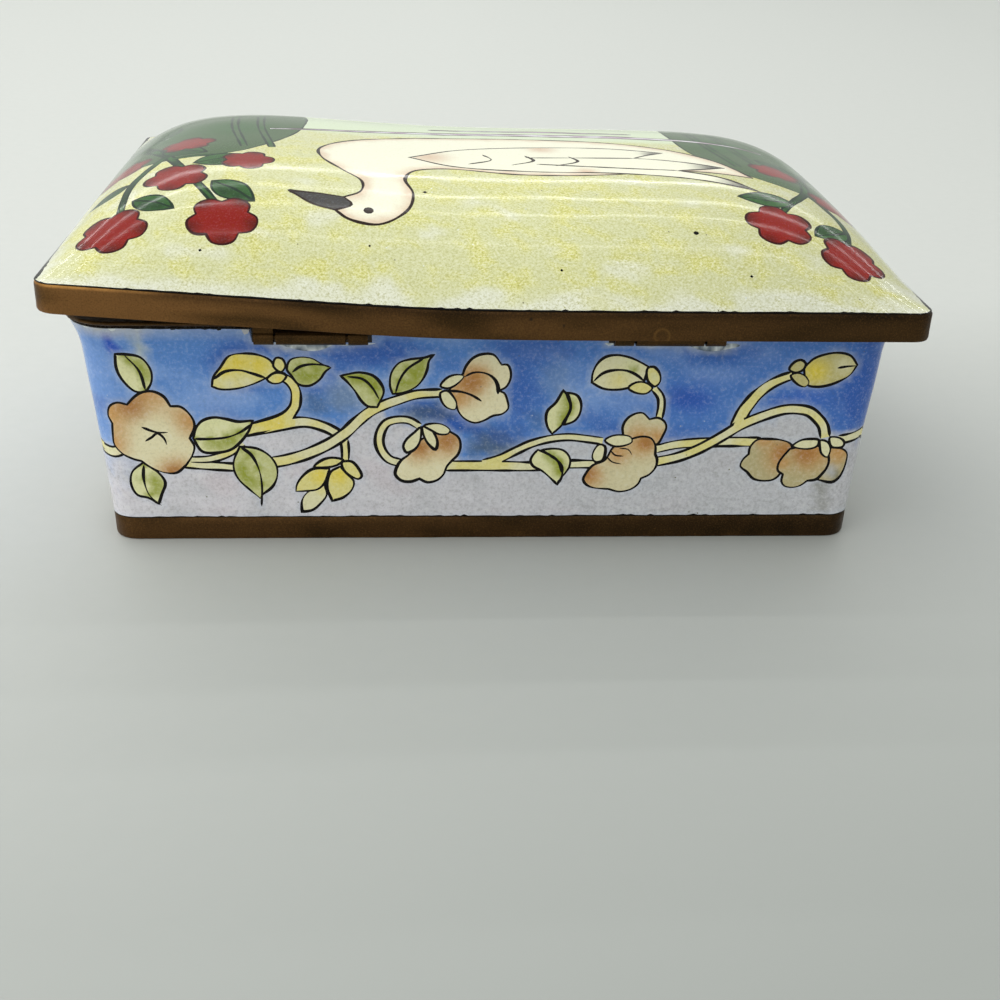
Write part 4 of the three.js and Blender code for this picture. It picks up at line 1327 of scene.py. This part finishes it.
def maths(tree, operation, first, second):
    """Sum, product or the like of two values, each a socket or a number."""
    node = tree.nodes.new("ShaderNodeMath")
    node.operation = operation
    for socket, value in zip(node.inputs, (first, second)):
        if isinstance(value, (int, float)):
            socket.default_value = value
        else:
            link(tree, value, socket)
    return node.outputs[0]


def blended(tree, share, first, second):
    """Mix of two colours by a share; a colour is a socket or an array."""
    node = tree.nodes.new("ShaderNodeMix")
    node.data_type = "RGBA"
    link(tree, share, node.inputs["Factor"])
    for socket, value in ((node.inputs[6], first), (node.inputs[7], second)):
        if isinstance(value, np.ndarray):
            socket.default_value = (*value, 1)
        else:
            link(tree, value, socket)
    return node.outputs[2]


def bumped(tree, shader, height, distance_m, strength):
    node = tree.nodes.new("ShaderNodeBump")
    node.inputs["Strength"].default_value = strength
    node.inputs["Distance"].default_value = distance_m
    link(tree, height, node.inputs["Height"])
    link(tree, node.outputs["Normal"], shader.inputs["Normal"])


def object_coords(tree):
    return tree.nodes.new("ShaderNodeTexCoord").outputs["Object"]


def painted(tree):
    """Colour and grain that the mesh carries."""
    node = tree.nodes.new("ShaderNodeVertexColor")
    node.layer_name = "paint"
    return node.outputs["Color"], node.outputs["Alpha"]


def dots(tree, coords, scale, radius, share):
    """Small round dots, in a share of the cells of about 1 / scale metres."""
    cells = tree.nodes.new("ShaderNodeTexVoronoi")
    cells.inputs["Scale"].default_value = scale
    link(tree, coords, cells.inputs["Vector"])
    chance = tree.nodes.new("ShaderNodeSeparateColor")
    link(tree, cells.outputs["Color"], chance.inputs["Color"])
    near = ranged(tree, cells.outputs["Distance"], radius, radius * 0.6, 0, 1)
    chosen = [maths(tree, "LESS_THAN", chance.outputs[channel], share) for channel in ("Red", "Green")]
    return [maths(tree, "MULTIPLY", near, pick) for pick in chosen]


# Cells of the specks and the features of the noises, as a number to the metre
SPECK_CELLS = 900
SPECK_RADIUS = 0.11
SPECK_SHARE = 0.07
POLISH_SCALE = 90
WAVE_SCALE = 160
PIT_SCALE = 1900
ENAMEL_RELIEF = 0.00025


def enamel(name, grain_tone, grain_size, paleness, darkness, waviness, gloss):
    """Fired enamel: painted colour with a fine grain of pigment, dark and white specks and a glassy gloss."""
    material, tree, shader = node_material(name)
    coords = object_coords(tree)
    paint, grain = painted(tree)
    fine = ranged(tree, noise_node(tree, coords, grain_size, 4.0, 0.75), 0.3, 0.7, -1, 1)
    tone = paint
    for way, share, speck in ((1.0, paleness, GRAIN_WHITE), (-1.0, darkness, grain_tone)):
        peaks = maths(tree, "MAXIMUM", maths(tree, "MULTIPLY", fine, way), 0.0)
        tone = blended(tree, maths(tree, "MULTIPLY", peaks, maths(tree, "MULTIPLY", grain, share)), tone,
                    speck)
    specks = dots(tree, coords, SPECK_CELLS, SPECK_RADIUS, SPECK_SHARE)
    for speck, share, speck_tone in zip(specks, (1.0, 0.8), (DIRT, FILLER)):
        seen = maths(tree, "MULTIPLY", speck, maths(tree, "MULTIPLY", grain, share))
        tone = blended(tree, seen, tone, speck_tone)
    link(tree, tone, shader.inputs["Base Color"])
    polish = ranged(tree, noise_node(tree, coords, POLISH_SCALE, 3.0), 0.3, 0.7, 0.06, 0.16)
    link(tree, polish, shader.inputs["Roughness"])
    shader.inputs["IOR"].default_value = 1.5
    shader.inputs["Specular IOR Level"].default_value = gloss
    shader.inputs["Coat Weight"].default_value = gloss / 2
    shader.inputs["Coat Roughness"].default_value = 0.04
    waves = maths(tree, "MULTIPLY", noise_node(tree, coords, WAVE_SCALE, 2.0), 0.7)
    pits = maths(tree, "MULTIPLY", noise_node(tree, coords, PIT_SCALE, 1.0), 0.3)
    bumped(tree, shader, maths(tree, "ADD", waves, pits), ENAMEL_RELIEF, waviness)
    return material


MARK_PLACE = (0.0193, -0.0385, 0.0291)
MARK_RADIUS = 0.00085
MARK_WIDTH = 0.00022
MARK_SHARE = 0.16
WEAR_SCALE = 300
SPECKLE_SCALE = 5200
DULL_SCALE = 500
BRASS_PIT_CELLS = 260
BRASS_PIT_RADIUS = 0.075
BRASS_PIT_SHARE = 0.3
BRASS_RELIEF = 0.0001


def ring_mark(tree, coords):
    """Faint round scar on the lid's rim, over the right hinge."""
    gap = tree.nodes.new("ShaderNodeVectorMath")
    gap.operation = "DISTANCE"
    gap.inputs[1].default_value = MARK_PLACE
    link(tree, coords, gap.inputs[0])
    off = maths(tree, "ABSOLUTE", maths(tree, "SUBTRACT", gap.outputs["Value"], MARK_RADIUS), 0.0)
    return ranged(tree, off, MARK_WIDTH, 0, 0, 1)


def aged_brass(name, on_paint):
    """Matte brown brass with a fine speckle, pits and slightly uneven polish."""
    material, tree, shader = node_material(name)
    coords = object_coords(tree)
    if on_paint:
        tone = painted(tree)[0]
    else:
        worn = ranged(tree, noise_node(tree, coords, WEAR_SCALE, 3.0), 0.3, 0.7, 0, 1)
        tone = blended(tree, worn, DARK_BRASS, mix(DARK_BRASS, OLD_BRASS, 0.6))
    speckle = noise_node(tree, coords, SPECKLE_SCALE, 2.0, 0.7)
    tone = blended(tree, ranged(tree, speckle, 0.5, 0.75, 0, 0.12), tone, GOLD)
    tone = blended(tree, ranged(tree, speckle, 0.5, 0.25, 0, 0.4), tone, OLD_BRASS)
    tone = blended(tree, maths(tree, "MULTIPLY", ring_mark(tree, coords), MARK_SHARE), tone, GOLD)
    holes = dots(tree, coords, BRASS_PIT_CELLS, BRASS_PIT_RADIUS, BRASS_PIT_SHARE)[0]
    pits = maths(tree, "MULTIPLY", holes, 0.8)
    tone = blended(tree, pits, tone, BARE_EDGE)
    link(tree, tone, shader.inputs["Base Color"])
    shader.inputs["Metallic"].default_value = 0.85
    dull = ranged(tree, noise_node(tree, coords, DULL_SCALE, 4.0), 0.3, 0.7, 0.36, 0.6)
    link(tree, dull, shader.inputs["Roughness"])
    bumped(tree, shader, maths(tree, "SUBTRACT", speckle, pits), BRASS_RELIEF, 0.35)
    return material


# Stage, light and camera

# Painted shade on the floor: the direction of the darkening towards the front, where it starts and ends, and
# its colour.
PAPER_TURN = Vector((0.45, -0.89, 0))
PAPER_BRIGHT = -0.03
PAPER_DIM = 0.11
PAPER_SHADE = colour(156, 159, 155)
PAPER_TONES = (colour(199, 201, 197), colour(204, 205, 201))
PAPER_SCALE = 400
FLOOR_HALF = 12
BRIGHT_SIDE = Vector((-0.66, 0.0, 0.74)).normalized()
DIM_STUDIO = 0.37
BRIGHT_STUDIO = 1.0
STUDIO_TONE = (0.97, 1.0, 0.97, 1)
WINDOW_PLACE = (-0.34, -0.15, 0.5)
WINDOW_SIZE = (0.6, 0.6)
WINDOW_POWER = 1.3
STRIP_PLACES = ((0.35, 0.95), (0.6, 0.8), (0.72, 0.66), (0.85, 0.5))
STRIP_SIZE = (1.6, 0.012)
STRIP_POWER = 0.9
STRIP_TARGET = (0, 0, 0.04)
LENS_PIXELS = 1400
PICTURE_PIXELS = 1000
SENSOR_MM = 36.0
CAMERA_YAW = 0.0665
CAMERA_PITCH = 0.4575
CAMERA_ROLL = 0.0265
CAMERA_PLACE = Vector((-8.73, -188.54, 82.43))
CAMERA_NEAR = 0.005
CAMERA_FAR = 20


def along_way(tree, coords, way):
    """How far coordinates lie along a direction."""
    node = tree.nodes.new("ShaderNodeVectorMath")
    node.operation = "DOT_PRODUCT"
    node.inputs[1].default_value = way
    link(tree, coords, node.inputs[0])
    return node.outputs["Value"]


def floor_material():
    """Pale matte paper with painted shade towards the front and the right."""
    material, tree, shader = node_material("pale_floor")
    coords = object_coords(tree)
    paper = blended(tree, noise_node(tree, coords, PAPER_SCALE, 3.0), *PAPER_TONES)
    # Painted shade: greyer towards the front and the right.
    nearer = ranged(tree, along_way(tree, coords, PAPER_TURN), PAPER_BRIGHT, PAPER_DIM, 0, 1)
    right = ranged(tree, along_way(tree, coords, (1, 0, 0)), 0.0, 0.25, 0, 0.3)
    share = maths(tree, "MAXIMUM", nearer, right)
    link(tree, blended(tree, share, paper, PAPER_SHADE), shader.inputs["Base Color"])
    shader.inputs["Roughness"].default_value = 0.6
    return material


def floor():
    """Wide pale floor under the box."""
    mesh = bpy.data.meshes.new("floor")
    corners = [(x * FLOOR_HALF, y * FLOOR_HALF, 0) for x, y in ((-1, -1), (1, -1), (1, 1), (-1, 1))]
    mesh.from_pydata(corners, [], [(0, 1, 2, 3)])
    mesh.materials.append(floor_material())
    plane = bpy.data.objects.new("floor", mesh)
    bpy.context.scene.collection.objects.link(plane)


def area_light(name, place, target, size, power):
    """Soft rectangular light that faces a target."""
    data = bpy.data.lights.new(name, "AREA")
    data.shape = "RECTANGLE"
    data.size, data.size_y = size
    data.energy = power
    light = bpy.data.objects.new(name, data)
    light.location = place
    light.rotation_euler = (Vector(target) - Vector(place)).to_track_quat("-Z", "Y").to_euler()
    bpy.context.scene.collection.objects.link(light)


def surround():
    """Pale studio all round, brightest to the left and above."""
    world = bpy.data.worlds.new("studio")
    world.use_nodes = True
    tree = world.node_tree
    back = tree.nodes["Background"]
    back.inputs["Color"].default_value = STUDIO_TONE
    toward = along_way(tree, tree.nodes.new("ShaderNodeTexCoord").outputs["Generated"], BRIGHT_SIDE)
    link(tree, ranged(tree, toward, -1, 1, DIM_STUDIO, BRIGHT_STUDIO), back.inputs["Strength"])
    bpy.context.scene.world = world


def lights():
    """Even studio light: a pale surround, a large soft light from the left and thin strips behind."""
    surround()
    area_light("window", WINDOW_PLACE, (0, 0, 0), WINDOW_SIZE, WINDOW_POWER)
    for number, (back, high) in enumerate(STRIP_PLACES):
        area_light(f"strip_{number}", (0, back, high), STRIP_TARGET, STRIP_SIZE, STRIP_POWER)


def camera():
    """Camera at the photograph's place and angle."""
    forward = Vector((math.sin(CAMERA_YAW), math.cos(CAMERA_YAW), 0))
    ahead = forward * math.cos(CAMERA_PITCH) - Vector((0, 0, math.sin(CAMERA_PITCH)))
    level = Vector((math.cos(CAMERA_YAW), -math.sin(CAMERA_YAW), 0))
    upright = level.cross(ahead)
    right = level * math.cos(CAMERA_ROLL) + upright * math.sin(CAMERA_ROLL)
    up = upright * math.cos(CAMERA_ROLL) - level * math.sin(CAMERA_ROLL)
    data = bpy.data.cameras.new("camera")
    data.sensor_width = SENSOR_MM
    data.lens = SENSOR_MM * LENS_PIXELS / PICTURE_PIXELS
    data.clip_start = CAMERA_NEAR
    data.clip_end = CAMERA_FAR
    eye = bpy.data.objects.new("camera", data)
    turn = Matrix((right, up, -ahead)).transposed().to_4x4()
    eye.matrix_world = Matrix.Translation(CAMERA_PLACE * MM) @ turn
    bpy.context.scene.collection.objects.link(eye)
    bpy.context.scene.camera = eye


# The whole scene

BRASS_NODES = (
    "base_top_rim", "hinge_left_base_leaf", "hinge_left_pin", "hinge_right_base_leaf", "hinge_right_pin",
    "hinge_left_lid_leaf", "hinge_right_lid_leaf",
)
bpy.context.scene.view_settings.view_transform = "Standard"
wall_enamel = enamel("wall_enamel", DIRT, 2300, 0.36, 0.34, 0.15, 0.16)
lid_enamel = enamel("lid_enamel", LID_GRAIN, 3600, 0.4, 0.6, 0.05, 0.08)
base_body(wall_enamel)
lid_panel(lid_enamel)
painted_brass = aged_brass("aged_brass", True)
lid_rim(painted_brass)
foot_band(painted_brass)
hinge_brass = aged_brass("hinge_brass", False)
for node in BRASS_NODES:
    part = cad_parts[node]
    part.data.materials.clear()
    part.data.materials.append(hinge_brass)
floor()
lights()
camera()
